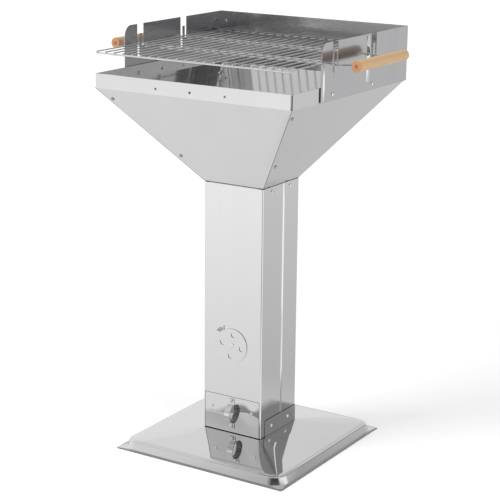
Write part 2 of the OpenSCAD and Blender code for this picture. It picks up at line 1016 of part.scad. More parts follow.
module shield_nuts() {
    color(screw_grey)
        shield_screw_places()
            translate([0, 0, -3 * sheet - pass_gap])
                mirror([0, 0, 1])
                    nut();
}

module corner_bolts() {
    color(screw_grey)
        corner_bolt_places()
            screw(2 * sheet + nut_h + 1);
}

module corner_nuts() {
    color(screw_grey)
        corner_bolt_places()
            translate([0, 0, -2 * sheet])
                mirror([0, 0, 1])
                    nut();
}

// Cooking grate: a row of bars on two end wires and two cross wires
module grate_end_wires() {
    color(wire_grey)
        for (y = [grate_front + cross_wire_d / 2, grate_rear - cross_wire_d / 2])
            wire([-grate_x, y, cross_z], [grate_x, y, cross_z], cross_wire_d);
}

module grate_bars() {
    color(wire_grey)
        for (i = [0 : bar_count - 1]) {
            x = (i - (bar_count - 1) / 2) * bar_step;
            wire([x, grate_front, bar_z], [x, grate_rear, bar_z], bar_d);
        }
}

module grate_cross_wires() {
    color(wire_grey)
        for (y = [rod_y1, rod_y2])
            wire([-grate_x, y, cross_z], [grate_x, y, cross_z], cross_wire_d);
}

// The half of space on one side of the plane through the origin that leans by an angle
module past_plane(lean, side) {
    rotate([0, 90 - lean, 0])
        translate([0, 0, side * 5 * rod_d])
            cube(10 * rod_d, center = true);
}

// Handle rods: under the cross wires and out through the slots, up to the mitre of each bend
module handle_rods() {
    color(wire_grey)
        for (y = [rod_y1, rod_y2])
            both_sides()
                translate([rise_from, y, rod_z])
                    difference() {
                        translate([-rise_from, 0, 0])
                            rotate([0, 90, 0])
                                cylinder(h = rise_from + rod_d, d = rod_d, $fn = wire_fn);
                        past_plane(rise_angle / 2, 1);
                    }
}

// The rods' raised ends, from the mitre of each bend up into the grips
module rod_ends() {
    color(wire_grey)
        for (y = [rod_y1, rod_y2])
            both_sides()
                translate([rise_from, y, rod_z])
                    difference() {
                        rotate([0, 90 - rise_angle, 0])
                            translate([0, 0, -rod_d])
                                cylinder(h = rise_l + rod_d, d = rod_d, $fn = wire_fn);
                        past_plane(rise_angle / 2, -1);
                    }
}

// Right wooden grip: a dowel with bevelled ends and two blind holes for the rods
module grip() {
    difference() {
        translate([grip_x, grip_y - grip_l / 2, grip_z])
            rotate([-90, 0, 0]) {
                cylinder(h = grip_bevel, d1 = grip_d - 2 * grip_bevel, d2 = grip_d, $fn = round_fn);
                translate([0, 0, grip_bevel])
                    cylinder(h = grip_l - 2 * grip_bevel, d = grip_d, $fn = round_fn);
                translate([0, 0, grip_l - grip_bevel])
                    cylinder(h = grip_bevel, d1 = grip_d, d2 = grip_d - 2 * grip_bevel, $fn = round_fn);
            }
        for (y = [rod_y1, rod_y2])
            translate([rise_from, y, rod_z])
                rotate([0, 90 - rise_angle, 0])
                    cylinder(h = rise_l + hole_clear, d = rod_d + 0.1, $fn = wire_fn);
    }
}

module grip_right() {
    color(beech)
        grip();
}

module grip_left() {
    color(beech)
        mirror([1, 0, 0])
            grip();
}

// Charcoal grate: a bent frame wire that rests in the funnel, bars on top and cross wires between
module charcoal_frame() {
    color(inner_grey)
        translate([0, 0, charcoal_z])
            wire_ring(charcoal_x, charcoal_x, charcoal_bend, charcoal_wire_d);
}

module charcoal_bars() {
    color(inner_grey)
        for (i = [0 : charcoal_count - 1]) {
            x = (i - (charcoal_count - 1) / 2) * charcoal_pitch;
            wire([x, -charcoal_x, charcoal_bar_z], [x, charcoal_x, charcoal_bar_z], charcoal_bar_d);
        }
}

module charcoal_cross_wires() {
    half = charcoal_x - charcoal_wire_d / 2;
    color(inner_grey)
        for (s = [-1, 1])
            wire([-half, s * charcoal_cross / 2, charcoal_z], [half, s * charcoal_cross / 2, charcoal_z], charcoal_wire_d);
}

base_pan();
foot_cradle();
cradle_bolts();
cradle_nuts();
foot_screws();
foot_nuts();
column_front();
column_rear();
column_screws();
column_nuts();
air_disc_rivet();
air_disc();
drawer_front();
ash_tray();
drawer_handle();
drawer_rivets();
handle_screws();
handle_nuts();
funnel_front();
funnel_right();
funnel_rear();
funnel_left();
funnel_screws();
funnel_nuts();
shield_left();
shield_right();
shield_back();
shield_screws();
shield_nuts();
corner_bolts();
corner_nuts();
grate_end_wires();
grate_bars();
grate_cross_wires();
handle_rods();
rod_ends();
grip_left();
grip_right();
charcoal_frame();
charcoal_bars();
charcoal_cross_wires();
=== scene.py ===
"""Looks of the funnel charcoal grill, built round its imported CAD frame.

Lengths are in metres, the front faces -Y and +Z is up. Each sub-assembly is a class that builds its
surfaces from formulas and dresses them and the CAD nodes that stay in its finishes.
"""
import logging
import math
from collections.abc import Callable
from dataclasses import dataclass
from enum import Enum

import bmesh
import bpy
import numpy as np
from mathutils import Matrix


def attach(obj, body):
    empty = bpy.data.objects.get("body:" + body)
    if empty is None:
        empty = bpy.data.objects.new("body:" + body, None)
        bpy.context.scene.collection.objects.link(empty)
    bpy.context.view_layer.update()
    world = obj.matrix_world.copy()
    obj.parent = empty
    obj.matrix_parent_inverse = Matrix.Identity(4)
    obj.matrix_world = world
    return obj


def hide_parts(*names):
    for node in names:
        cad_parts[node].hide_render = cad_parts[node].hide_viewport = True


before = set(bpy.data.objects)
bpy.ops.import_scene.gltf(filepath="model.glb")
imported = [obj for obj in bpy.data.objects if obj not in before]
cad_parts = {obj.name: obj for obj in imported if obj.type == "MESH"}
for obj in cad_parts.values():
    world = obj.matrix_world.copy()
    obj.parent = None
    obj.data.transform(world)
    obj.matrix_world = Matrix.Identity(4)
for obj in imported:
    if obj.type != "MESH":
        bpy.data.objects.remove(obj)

Array = np.ndarray
Point = tuple[float, float, float]
Object = bpy.types.Object
Material = bpy.types.Material
NodeTree = bpy.types.NodeTree
MM = 0.001
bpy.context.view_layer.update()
log = logging.getLogger("grill")


# Surfaces


@dataclass
class Patch:
    """Points, quads and triangles of one surface."""

    points: Array
    quads: Array
    tris: Array

    def moved(self, turn: Array, place: Array) -> "Patch":
        """The patch turned by a 3x3 matrix and then shifted."""
        return Patch(self.points @ turn.T + place, self.quads, self.tris)

    def on_both_sides(self) -> "Patch":
        """The patch and its mirror image across the middle plane, both with their faces outwards."""
        return joined([self, Patch(self.points * (-1, 1, 1), self.quads[:, ::-1], self.tris[:, ::-1])])


def grid_patch(points: Array, closed: bool = True, ends: tuple[bool, bool] = (True, True)) -> Patch:
    """Joins a grid of points into faces.

    Quad (i, j) has the corners (i, j), (i, j+1), (i+1, j+1), (i+1, j), so faces point outwards where
    the columns run anticlockwise about the direction in which the rows advance. A cap is a fan
    round the mean of an end row.

    Args:
        points: Grid of shape (rows, columns, 3).
        closed: Whether the last column joins the first.
        ends: Whether a fan closes the first row, and the last.

    Returns:
        The patch of the grid and its caps.
    """
    rows, cols = points.shape[:2]
    i, j = np.meshgrid(np.arange(rows - 1), np.arange(cols if closed else cols - 1), indexing="ij")
    k = (j + 1) % cols
    quads = np.stack([i * cols + j, i * cols + k, (i + 1) * cols + k, (i + 1) * cols + j], axis=-1)
    flat = points.reshape(-1, 3)
    tris = np.zeros((0, 3), dtype=int)
    ring = np.arange(cols)
    after = np.roll(ring, -1)
    for wanted, row, fan in ((ends[0], 0, (after, ring)), (ends[1], rows - 1, (ring, after))):
        if wanted:
            made = np.stack([np.full(cols, len(flat)), row * cols + fan[0], row * cols + fan[1]], axis=1)
            tris = np.concatenate([tris, made])
            flat = np.concatenate([flat, points[row].mean(axis=0)[None]])
    return Patch(flat, quads.reshape(-1, 4), tris)


def joined(patches: list[Patch]) -> Patch:
    """One patch that holds all the given ones.

    Args:
        patches: The surfaces.

    Returns:
        The patch with all their points and faces.
    """
    starts = np.cumsum([0] + [len(p.points) for p in patches[:-1]])
    return Patch(
        np.concatenate([p.points for p in patches]),
        np.concatenate([p.quads + s for p, s in zip(patches, starts)]),
        np.concatenate([p.tris + s for p, s in zip(patches, starts)]),
    )


def linked(name: str, data: bpy.types.ID) -> Object:
    """A new object of the scene.

    Args:
        name: Name of the object.
        data: Its mesh, camera or lamp.

    Returns:
        The object.
    """
    made = bpy.data.objects.new(name, data)
    bpy.context.scene.collection.objects.link(made)
    return made


def mesh_object(name: str, patch: Patch, sharp_deg: float = 40.0) -> Object:
    """Puts a patch into a mesh object at the origin, with smooth faces up to an angle.

    Args:
        name: Name of the object and its mesh.
        patch: The surface.
        sharp_deg: Angle past which an edge stays sharp.

    Returns:
        The object, linked to the scene.
    """
    mesh = bpy.data.meshes.new(name)
    mesh.from_pydata(patch.points.tolist(), [], patch.quads.tolist() + patch.tris.tolist())
    mesh.validate()
    mesh.shade_smooth()
    mesh.set_sharp_from_angle(angle=math.radians(sharp_deg))
    return linked(name, mesh)


def unit(vector: Array) -> Array:
    """A vector, or each row of an array, made one long."""
    return vector / np.linalg.norm(vector, axis=-1, keepdims=True)


def circle(sides: int) -> Array:
    """Angles once round, in radians."""
    return np.linspace(0, 2 * math.pi, sides, endpoint=False)


def basis_from_axis(axis: Array) -> Array:
    """A 3x3 turn that takes local Z to the axis.

    Args:
        axis: Direction of local Z, of any length.

    Returns:
        The turn, with its axes as columns.
    """
    w = unit(axis)
    side = np.array([0.0, 0.0, 1.0]) if abs(w[2]) < 0.9 else np.array([1.0, 0.0, 0.0])
    u = unit(np.cross(side, w))
    return np.stack([u, np.cross(w, u), w], axis=1)


def turn_z(degrees: float) -> Array:
    """A 3x3 turn about Z."""
    c, s = math.cos(math.radians(degrees)), math.sin(math.radians(degrees))
    return np.array([[c, -s, 0], [s, c, 0], [0, 0, 1]])


def wire_patch(path: Array, diameter: float, sides: int = 16) -> Patch:
    """A wire along a path, with rounded ends.

    Ring i is path[i] + r_i (u cos t + v sin t), where u and v are square to the path there. At each
    end r_i grows from that of a small flat along a quarter of an ellipse.

    Args:
        path: Points of the wire's middle line, of shape (n, 3).
        diameter: Diameter of the wire.
        sides: Number of faces round it.

    Returns:
        The closed surface.
    """
    reach, flat_share = 0.35 * diameter, 0.55
    a = np.linspace(0, math.pi / 2, 5)[:-1]
    first, last = unit(path[1] - path[0]), unit(path[-1] - path[-2])
    head = path[0] + np.outer(reach * (1 - np.cos(a)), first)
    tail = path[-1] - np.outer(reach * (1 - np.cos(a[::-1])), last)
    middle = path.copy()
    middle[0] = path[0] + reach * first
    middle[-1] = path[-1] - reach * last
    centres = np.concatenate([head, middle, tail])
    grown = flat_share + (1 - flat_share) * np.sin(a)
    radii = diameter / 2 * np.concatenate([grown, np.ones(len(middle)), grown[::-1]])
    along = unit(np.gradient(middle, axis=0))
    along = np.concatenate([np.tile(first, (len(head), 1)), along, np.tile(last, (len(tail), 1))])
    side = basis_from_axis(along.mean(axis=0))[:, 0]
    u = unit(side - along * (along @ side)[:, None])
    v = np.cross(along, u)
    t = circle(sides)[None, :, None]
    ring = np.cos(t) * u[:, None] + np.sin(t) * v[:, None]
    return grid_patch(centres[:, None] + radii[:, None, None] * ring)


def straight_wire(a: tuple, b: tuple, diameter: float, sides: int = 16) -> Patch:
    """A straight wire from a to b, in three spans."""
    share = np.array([0.0, 0.3, 0.7, 1.0])[:, None]
    return wire_patch(np.asarray(a) * (1 - share) + np.asarray(b) * share, diameter, sides)


def cross_wires(half: float, places: tuple, height: float, diameter: float) -> Patch:
    """Straight wires from side to side, at the given places along Y."""
    return joined([straight_wire((-half, y, height), (half, y, height), diameter) for y in places])


def spread(count: int, step: float) -> Array:
    """Places of a row that is centred on the middle plane."""
    return (np.arange(count) - (count - 1) / 2) * step


def bar_row(places: Array, front: float, rear: float, height: float, diameter: float) -> Patch:
    """Straight bars from front to rear, at the given places along X."""
    return joined([straight_wire((x, front, height), (x, rear, height), diameter, 12) for x in places])


def lathe_patch(radius: Array, height: Array, sides: int = 48) -> Patch:
    """A surface of revolution: ring i is (r_i cos t, r_i sin t, z_i). Heights that rise give faces
    that point outwards.

    Args:
        radius: Radius of each ring.
        height: Height of each ring.
        sides: Number of points in a ring.

    Returns:
        The surface, closed at both ends.
    """
    t = circle(sides)
    level = np.repeat(height[:, None], sides, 1)
    return grid_patch(np.stack([radius[:, None] * np.cos(t), radius[:, None] * np.sin(t), level], -1))


def weld_patch(place: Array, size: Array) -> Patch:
    """A small weld where two wires cross: a flattened ball, (a cos t cos p, b sin t cos p, c sin p).

    Args:
        place: Middle of the weld.
        size: Its half sizes a, b and c.

    Returns:
        The closed surface.
    """
    p = np.linspace(-1.2, 1.2, 5)[:, None]
    t = circle(8)[None]
    ball = np.stack([np.cos(t) * np.cos(p), np.sin(t) * np.cos(p), np.sin(p) + 0 * t], -1)
    return grid_patch(ball * size + place)


def upright_strip(wall: float, section: Array, rise: Array, share: Array) -> Patch:
    """A strip that stands proud of both side walls, with its section drawn up along it.

    Args:
        wall: Distance of the walls' outside from the middle plane.
        section: How far each point stands proud and its place along Y, anticlockwise from above.
        rise: Height of each ring.
        share: How much of the section stands proud at each ring.

    Returns:
        The strips of both walls.
    """
    proud = section[:, 0] * np.where(section[:, 0] > 0, share[:, None], 1.0)
    along = np.broadcast_to(section[:, 1], proud.shape)
    height = np.broadcast_to(rise[:, None], proud.shape)
    return grid_patch(np.stack([wall + proud, along, height], -1)).on_both_sides()


# Fasteners


class Head(Enum):
    """Kinds of visible heads."""

    PAN = "pan head with a cross recess"
    RIVET = "domed rivet head"


@dataclass(frozen=True)
class Fastener:
    """One size of screw or rivet, as a single closed surface.

    The surface is a profile turned about Z. The head's dome is z = h (1 - 0.55 (r / R)^2.6), less the
    recess, whose depth falls off smoothly away from two crossed bars. The shank's radius carries a
    shallow thread, r = d/2 (1 - w + w sin(2 pi z / pitch + t)). Shares are of the head's radius or
    height, or of the shank's radius.
    """

    length: float = 6.0 * MM
    head: Head = Head.PAN
    head_r: float = 4.3 * MM
    head_h: float = 2.4 * MM
    shank_r: float = 2.5 * MM
    pitch: float = 0.8 * MM
    dome: float = 0.55
    recess: float = 0.55
    recess_half: tuple = (0.08, 0.16)
    recess_reach: tuple = (0.44, 0.56)
    thread: float = 0.045
    taper: float = 0.08

    def patch(self, sides: int = 32) -> Patch:
        """The fastener with its head's seat at the origin and its shank along -Z.

        Args:
            sides: Number of faces round it.

        Returns:
            The closed surface.
        """
        t = circle(sides)[None]
        r = np.linspace(0.04, 1.0, 14)[:, None] ** 0.9
        x, y = r * np.cos(t), r * np.sin(t)
        dome = self.head_h * (1 - self.dome * r ** 2.6) + 0 * t
        thread = 0.0
        if self.head is Head.PAN:
            thread = self.thread
            full, none = self.recess_half
            bars = np.clip((none - np.minimum(np.abs(x), np.abs(y))) / (none - full), 0, 1)
            full, none = self.recess_reach
            dome = dome - self.recess * self.head_h * bars * np.clip((none - r) / (none - full), 0, 1)
        top = np.stack([self.head_r * x, self.head_r * y, dome], -1)[::-1]
        z = -np.linspace(0.0, self.length, max(8, int(self.length / self.pitch * 5)))[:, None]
        fade = np.clip(np.minimum(-z, self.length + z) / self.pitch, 0, 1)
        wave = 1 - thread + thread * fade * np.sin(2 * math.pi * z / self.pitch + t)
        rad = self.shank_r * (wave - self.taper * (1 - fade) * (z < -1 * MM))
        shank = np.stack([rad * np.cos(t), rad * np.sin(t), z + 0 * t], -1)
        seat_ring = np.stack([self.head_r * np.cos(t), self.head_r * np.sin(t), 0 * t], -1)
        return grid_patch(np.concatenate([shank[::-1], seat_ring, top]))


@dataclass(frozen=True)
class Place:
    """Where a fastener sits: its head's seat, and the direction of its head."""

    at: Point
    axis: Point


def side_places(x: float, along: tuple, z: float) -> list[Place]:
    """Places in both side walls, with the heads outwards."""
    return [Place((s * x, y, z), (s, 0, 0)) for s in (-1, 1) for y in along]


# Node trees


def reckoning(operation: str) -> Callable:
    """A method of Value that adds a Math node of this kind."""
    return lambda value, other=0.0: value.hand.math(operation, value, other)


class Value:
    """An output of a node that can be reckoned with: each sum adds a node to its tree."""

    __add__ = reckoning("ADD")
    __sub__ = reckoning("SUBTRACT")
    __mul__ = reckoning("MULTIPLY")
    __truediv__ = reckoning("DIVIDE")
    __abs__ = reckoning("ABSOLUTE")
    at_least = reckoning("MAXIMUM")
    at_most = reckoning("MINIMUM")

    def __init__(self, hand: "Tree", socket: bpy.types.NodeSocket) -> None:
        """Keeps the socket and the hand on its tree."""
        self.hand = hand
        self.socket = socket

    def __rsub__(self, other: object) -> "Value":
        """The difference from a number."""
        return self.hand.math("SUBTRACT", other, self)

    def span(self, low: float, high: float, to_low: float = 0.0, to_high: float = 1.0) -> "Value":
        """The value taken from one range to another, held at its ends."""
        return self.hand.get("MapRange", {0: self, 1: low, 2: high, 3: to_low, 4: to_high})

    def parts(self) -> list["Value"]:
        """The three components of a vector."""
        node = self.hand.add("SeparateXYZ", {0: self})
        return [Value(self.hand, socket) for socket in node.outputs]


class Tree:
    """A thin hand on a node tree: adds nodes and joins their sockets."""

    def __init__(self, tree: NodeTree) -> None:
        """Keeps the tree."""
        self.tree = tree

    @classmethod
    def of(cls, owner: bpy.types.ID) -> "Tree":
        """Empties the tree of a material or a world.

        Args:
            owner: The material or the world.

        Returns:
            A hand on the emptied tree.
        """
        owner.use_nodes = True
        owner.node_tree.nodes.clear()
        return cls(owner.node_tree)

    def feed(self, node: bpy.types.Node, inputs: dict) -> None:
        """Sets inputs of a node, by name or number, or joins them to values.

        Args:
            node: The node.
            inputs: A number or value for each input.
        """
        for key, value in inputs.items():
            if isinstance(value, Value):
                self.tree.links.new(value.socket, node.inputs[key])
            else:
                node.inputs[key].default_value = value

    def add(self, kind: str, inputs: dict | None = None, **settings: object) -> bpy.types.Node:
        """Adds a shader node of a kind such as "Math", with its inputs and its properties.

        Args:
            kind: Kind of the node.
            inputs: A number or value for each input.
            **settings: Its properties.

        Returns:
            The node.
        """
        made = self.tree.nodes.new("ShaderNode" + kind)
        for key, value in settings.items():
            setattr(made, key, value)
        self.feed(made, inputs or {})
        return made

    def get(self, kind: str, inputs: dict | None = None, out: int | str = 0, **settings: object) -> Value:
        """An output of a new shader node, the first one unless it is named."""
        return Value(self, self.add(kind, inputs, **settings).outputs[out])

    def math(self, operation: str, a: object, b: object = 0.0, clamp: bool = False) -> Value:
        """The result of a Math node."""
        return self.get("Math", {0: a, 1: b}, operation=operation, use_clamp=clamp)

    def vector(self, operation: str, a: Value, b: object = (0.0, 0.0, 0.0), out: int | str = 0) -> Value:
        """The result of a Vector Math node."""
        return self.get("VectorMath", {0: a, 1: b}, out, operation=operation)

    def noise(self, vector: Value, scale: object, detail: float = 2.0, rough: float = 0.5) -> Value:
        """The value of a Noise texture."""
        return self.get("TexNoise", {"Vector": vector, "Scale": scale, "Detail": detail, "Roughness": rough})

    def stretch(self, vector: Value, scale: tuple) -> Value:
        """The vector multiplied along each axis."""
        return self.get("Mapping", {"Vector": vector, "Scale": scale}, vector_type="POINT")

    def mix(self, factor: object, a: object, b: object) -> Value:
        """A mix of two colours."""
        return self.get("Mix", {0: factor, 6: a, 7: b}, 2, data_type="RGBA")

    def bump(self, height: Value, distance: float, under: Value | None = None, strength: float = 1) -> Value:
        """The normal bent by a height, over the normal of a wider bump.

        Args:
            height: The height.
            distance: Length that a height of one stands for.
            under: Normal of the wider bump, or None.
            strength: Share of the bend.

        Returns:
            The normal.
        """
        inputs = {"Strength": strength, "Distance": distance, "Height": height}
        if under:
            inputs["Normal"] = under
        return self.get("Bump", inputs)

    def ray(self, kind: str) -> Value:
        """Whether the ray is a Camera, Glossy or Transmission ray."""
        return self.get("LightPath", out=f"Is {kind} Ray")

    def group(self, tree: NodeTree, **inputs: object) -> dict[str, Value]:
        """The outputs of a node group."""
        node = self.add("Group", inputs, node_tree=tree)
        return {socket.name: Value(self, socket) for socket in node.outputs}


class Group(Tree):
    """A shader node group: its inputs come first, and close() gives it its outputs."""

    def __init__(self, name: str, **inputs: float | None) -> None:
        """Makes the group with its inputs: the default of a number, or None for a vector.

        Args:
            name: Name of the group.
            **inputs: Default of each input.
        """
        super().__init__(bpy.data.node_groups.new(name, "ShaderNodeTree"))
        for key, value in inputs.items():
            kind = "NodeSocketVector" if value is None else "NodeSocketFloat"
            socket = self.tree.interface.new_socket(key, in_out="INPUT", socket_type=kind)
            if value is not None:
                socket.default_value = value
        source = self.tree.nodes.new("NodeGroupInput")
        self.given = [Value(self, source.outputs[key]) for key in inputs]

    def close(self, **outputs: Value) -> NodeTree:
        """Gives the group its outputs.

        Args:
            **outputs: Value of each output.

        Returns:
            The finished tree.
        """
        for key in outputs:
            self.tree.interface.new_socket(key, in_out="OUTPUT", socket_type="NodeSocketFloat")
        self.feed(self.tree.nodes.new("NodeGroupOutput"), outputs)
        return self.tree


class Groups:
    """Shader node groups that several finishes share, each built once."""

    def __init__(self) -> None:
        """Builds the groups."""
        self.grain = self._grain()
        self.swell = self._swell()
        self.wiping = self._wiping()
        self.joint = self._painted_joint_shade()

    @staticmethod
    def _grain() -> NodeTree:
        """Fine lines left by rolling or sanding. The vector comes in already drawn out along them.

        Height is a fine noise, and Mask a broader one that says where the lines are stronger.

        Returns:
            The group's tree.
        """
        t = Group("grain lines", Vector=None, Fineness=900.0, Depth=0.5)
        vector, fineness, depth = t.given
        broad = t.noise(vector, 60.0)
        height = t.noise(vector, fineness, 3.0) * depth * broad.span(0.3, 0.7, 0.6, 1.0)
        return t.close(Height=height, Mask=broad.span(0.35, 0.65))

    @staticmethod
    def _swell() -> NodeTree:
        """The slow swells of thin sheet, which bend what it mirrors.

        Returns:
            The group's tree.
        """
        t = Group("sheet swell", Vector=None, Size=6.0)
        vector, size = t.given
        return t.close(Height=t.noise(vector, size, 1.0))

    @staticmethod
    def _wiping() -> NodeTree:
        """Marks of wiping and handling: Roughness is Clean where Mask is 0 and Dull where it is 1.

        Returns:
            The group's tree.
        """
        t = Group("wiping marks", Vector=None, Clean=0.08, Dull=0.2, Spread=0.5)
        vector, clean, dull, extent = t.given
        cloud = t.noise(vector, 9.0, 5.0, 0.6) * 0.75 + t.noise(vector, 140.0) * 0.25
        mask = t.math("MULTIPLY", cloud - (1.0 - extent) * 0.8, 3.0, clamp=True)
        return t.close(Roughness=clean + mask * (dull - clean), Mask=mask)

    @staticmethod
    def _painted_joint_shade() -> NodeTree:
        """A painted shade line where shade falls in the gap of a joint. With d the largest of |v - Middle| -
        Half along the three axes, Mask is 1 where d is below 0 and fades out over Soft.

        Returns:
            The group's tree.
        """
        t = Group("painted joint shade line", Vector=None, Middle=None, Half=None, Soft=0.4 * MM)
        vector, middle, half, soft = t.given
        away = t.vector("ABSOLUTE", t.vector("SUBTRACT", vector, middle))
        x, y, z = t.vector("SUBTRACT", away, half).parts()
        past = x.at_least(y.at_least(z)) / soft
        return t.close(Mask=t.math("SUBTRACT", 1.0, past, clamp=True))


GROUPS = Groups()


def grey(value: float, warm: float = 0.0) -> tuple[float, float, float, float]:
    """A grey with a little warmth, as a colour."""
    return (value * (1 + warm), value, value * (1 - warm), 1.0)


# Finishes


class Lines(Enum):
    """Direction of a sheet's rolling lines, as the stretch of the coordinates."""

    UPRIGHT = (1.0, 1.0, 0.012)
    NONE = (1.0, 1.0, 1.0)


@dataclass(frozen=True)
class SteelFinish:
    """Bright steel: clean and dull parts, rolling lines and a slow swell.

    A dent is (x, z, width, depth) on an upright front sheet, and a painted shade box is the middle and the
    half size of a box at a joint that a dark line of painted shade fills, all in millimetres.
    """

    name: str
    clean: float
    dull: float
    colour: tuple = grey(0.8)
    dull_colour: tuple = grey(0.77)
    lines: Lines = Lines.UPRIGHT
    fineness: float = 900.0
    depth: float = 0.4
    swell_size: float = 6.0
    swell_depth: float = 0.12 * MM
    line_depth: float = 0.002 * MM
    dents: tuple = ()
    joints: tuple = ()

    def dented(self, t: Tree, place: Value) -> Value | None:
        """The normal of the sheet with its dents, which add depth exp(-d^2 / width^2) at the distance d.

        Args:
            t: Hand on the material's tree.
            place: Object coordinates.

        Returns:
            The normal, or None where the sheet has no dents.
        """
        if not self.dents:
            return None
        total = 0.0
        for x, z, width, depth in self.dents:
            away = t.vector("SUBTRACT", place, (x * MM, 0.0, z * MM))
            flat = t.stretch(away, (1.0 / (width * MM), 0.0, 1.0 / (width * MM)))
            square = t.vector("DOT_PRODUCT", flat, flat, "Value")
            total = t.math("EXPONENT", square * -1.0) * (depth * MM) + total
        return t.bump(total, 1.0)

    def material(self) -> Material:
        """The finish as a material.

        Returns:
            The material.
        """
        made = bpy.data.materials.new(self.name)
        t = Tree.of(made)
        place = t.get("TexCoord", out="Object")
        drawn = t.stretch(place, self.lines.value)
        grain = t.group(GROUPS.grain, Vector=drawn, Fineness=self.fineness, Depth=self.depth)
        marks = t.group(GROUPS.wiping, Vector=drawn, Clean=self.clean, Dull=self.dull)
        swell = t.group(GROUPS.swell, Vector=place, Size=self.swell_size)
        share = marks["Mask"] * grain["Mask"].span(0.0, 1.0, 0.6, 1.0)
        colour = t.mix(share, self.colour, self.dull_colour)
        # Painted shade: inside each box the colour goes to grey 0.1, for the shadow in the joint's gap.
        for middle, half in self.joints:
            box = {"Middle": [v * MM for v in middle], "Half": [v * MM for v in half]}
            colour = t.mix(t.group(GROUPS.joint, Vector=place, **box)["Mask"], colour, grey(0.1))
        wide = t.bump(swell["Height"], self.swell_depth, self.dented(t, place))
        fine = t.bump(grain["Height"], self.line_depth, wide)
        look = {"Base Color": colour, "Roughness": marks["Roughness"], "Normal": fine, "Metallic": 1.0}
        t.add("OutputMaterial", {0: t.get("BsdfPrincipled", look)})
        return made


@dataclass(frozen=True)
class WoodFinish:
    """Clear-varnished light hardwood, with its grain along Y, for one dowel.

    Centre shifts the rings' axis beside the dowel, and axis is the middle of the dowel.
    """

    name: str
    centre: Point
    axis: Point
    half: float = 104.6 * MM
    light: tuple = (0.72, 0.49, 0.27, 1.0)
    dark: tuple = (0.56, 0.33, 0.15, 1.0)
    end_core: tuple = (0.2, 0.08, 0.035, 1.0)
    end_rim: tuple = (0.55, 0.24, 0.1, 1.0)
    shade_in_reflections: tuple = (0.16, 0.15, 0.145, 1.0)

    def material(self) -> Material:
        """Rings round an axis beside the dowel, drawn out along Y, with fine pores over them, and darker
        end grain. Glossy rays see the wood mostly as a dark grey: painted shade for its side that faces the
        steel.

        Returns:
            The material.
        """
        made = bpy.data.materials.new(self.name)
        t = Tree.of(made)
        place = t.get("TexCoord", out="Object")
        shifted = t.get("Mapping", {"Vector": place, "Location": self.centre}, vector_type="POINT")
        drawn = t.stretch(shifted, (1.0, 0.06, 1.0))
        wave = {"Vector": drawn, "Scale": 70.0, "Distortion": 5.0, "Detail": 2.0, "Detail Scale": 1.5}
        rings = t.get("TexWave", wave, "Fac", wave_type="RINGS", rings_direction="Y", wave_profile="SAW")
        pores = t.group(GROUPS.grain, Vector=t.stretch(place, (1.0, 0.04, 1.0)), Fineness=1400.0, Depth=1.0)
        tone = rings * 0.35 + t.noise(drawn, 45.0, 3.0) * 0.45 + pores["Height"] * 0.3
        wood = t.mix(tone.span(0.25, 0.85), self.light, self.dark)
        away = t.vector("SUBTRACT", place, self.axis)
        at_end = abs(away.parts()[1]).span(self.half - 1 * MM, self.half, 0.0, 0.8)
        across = t.vector("LENGTH", t.stretch(away, (1.0, 0.0, 1.0)), out="Value")
        wood = t.mix(at_end, wood, t.mix(across.span(2.5 * MM, 5.5 * MM), self.end_core, self.end_rim))
        look = {
            # Painted shade: glossy rays see three quarters dark grey, so the steel mirrors the grip shaded.
            "Base Color": t.mix(t.ray("Glossy") * 0.75, wood, self.shade_in_reflections),
            "Roughness": t.group(GROUPS.wiping, Vector=place, Clean=0.34, Dull=0.5)["Roughness"],
            "Normal": t.bump(pores["Height"], 0.05 * MM, strength=0.5),
            "Coat Weight": 0.25,
            "Coat Roughness": 0.25,
        }
        t.add("OutputMaterial", {0: t.get("BsdfPrincipled", look)})
        return made


def steel(name: str, clean: float, dull: float, *greys: float, **more: object) -> Material:
    """A steel finish as its material. Greys are those of its clean and its dull parts.

    Args:
        name: Name of the material.
        clean: Roughness of the clean parts.
        dull: Roughness of the dull parts.
        *greys: The two greys, or none.
        **more: Other fields of the finish.

    Returns:
        The material.
    """
    if greys:
        more.update(colour=grey(greys[0]), dull_colour=grey(greys[1]))
    return SteelFinish(name, clean, dull, **more).material()


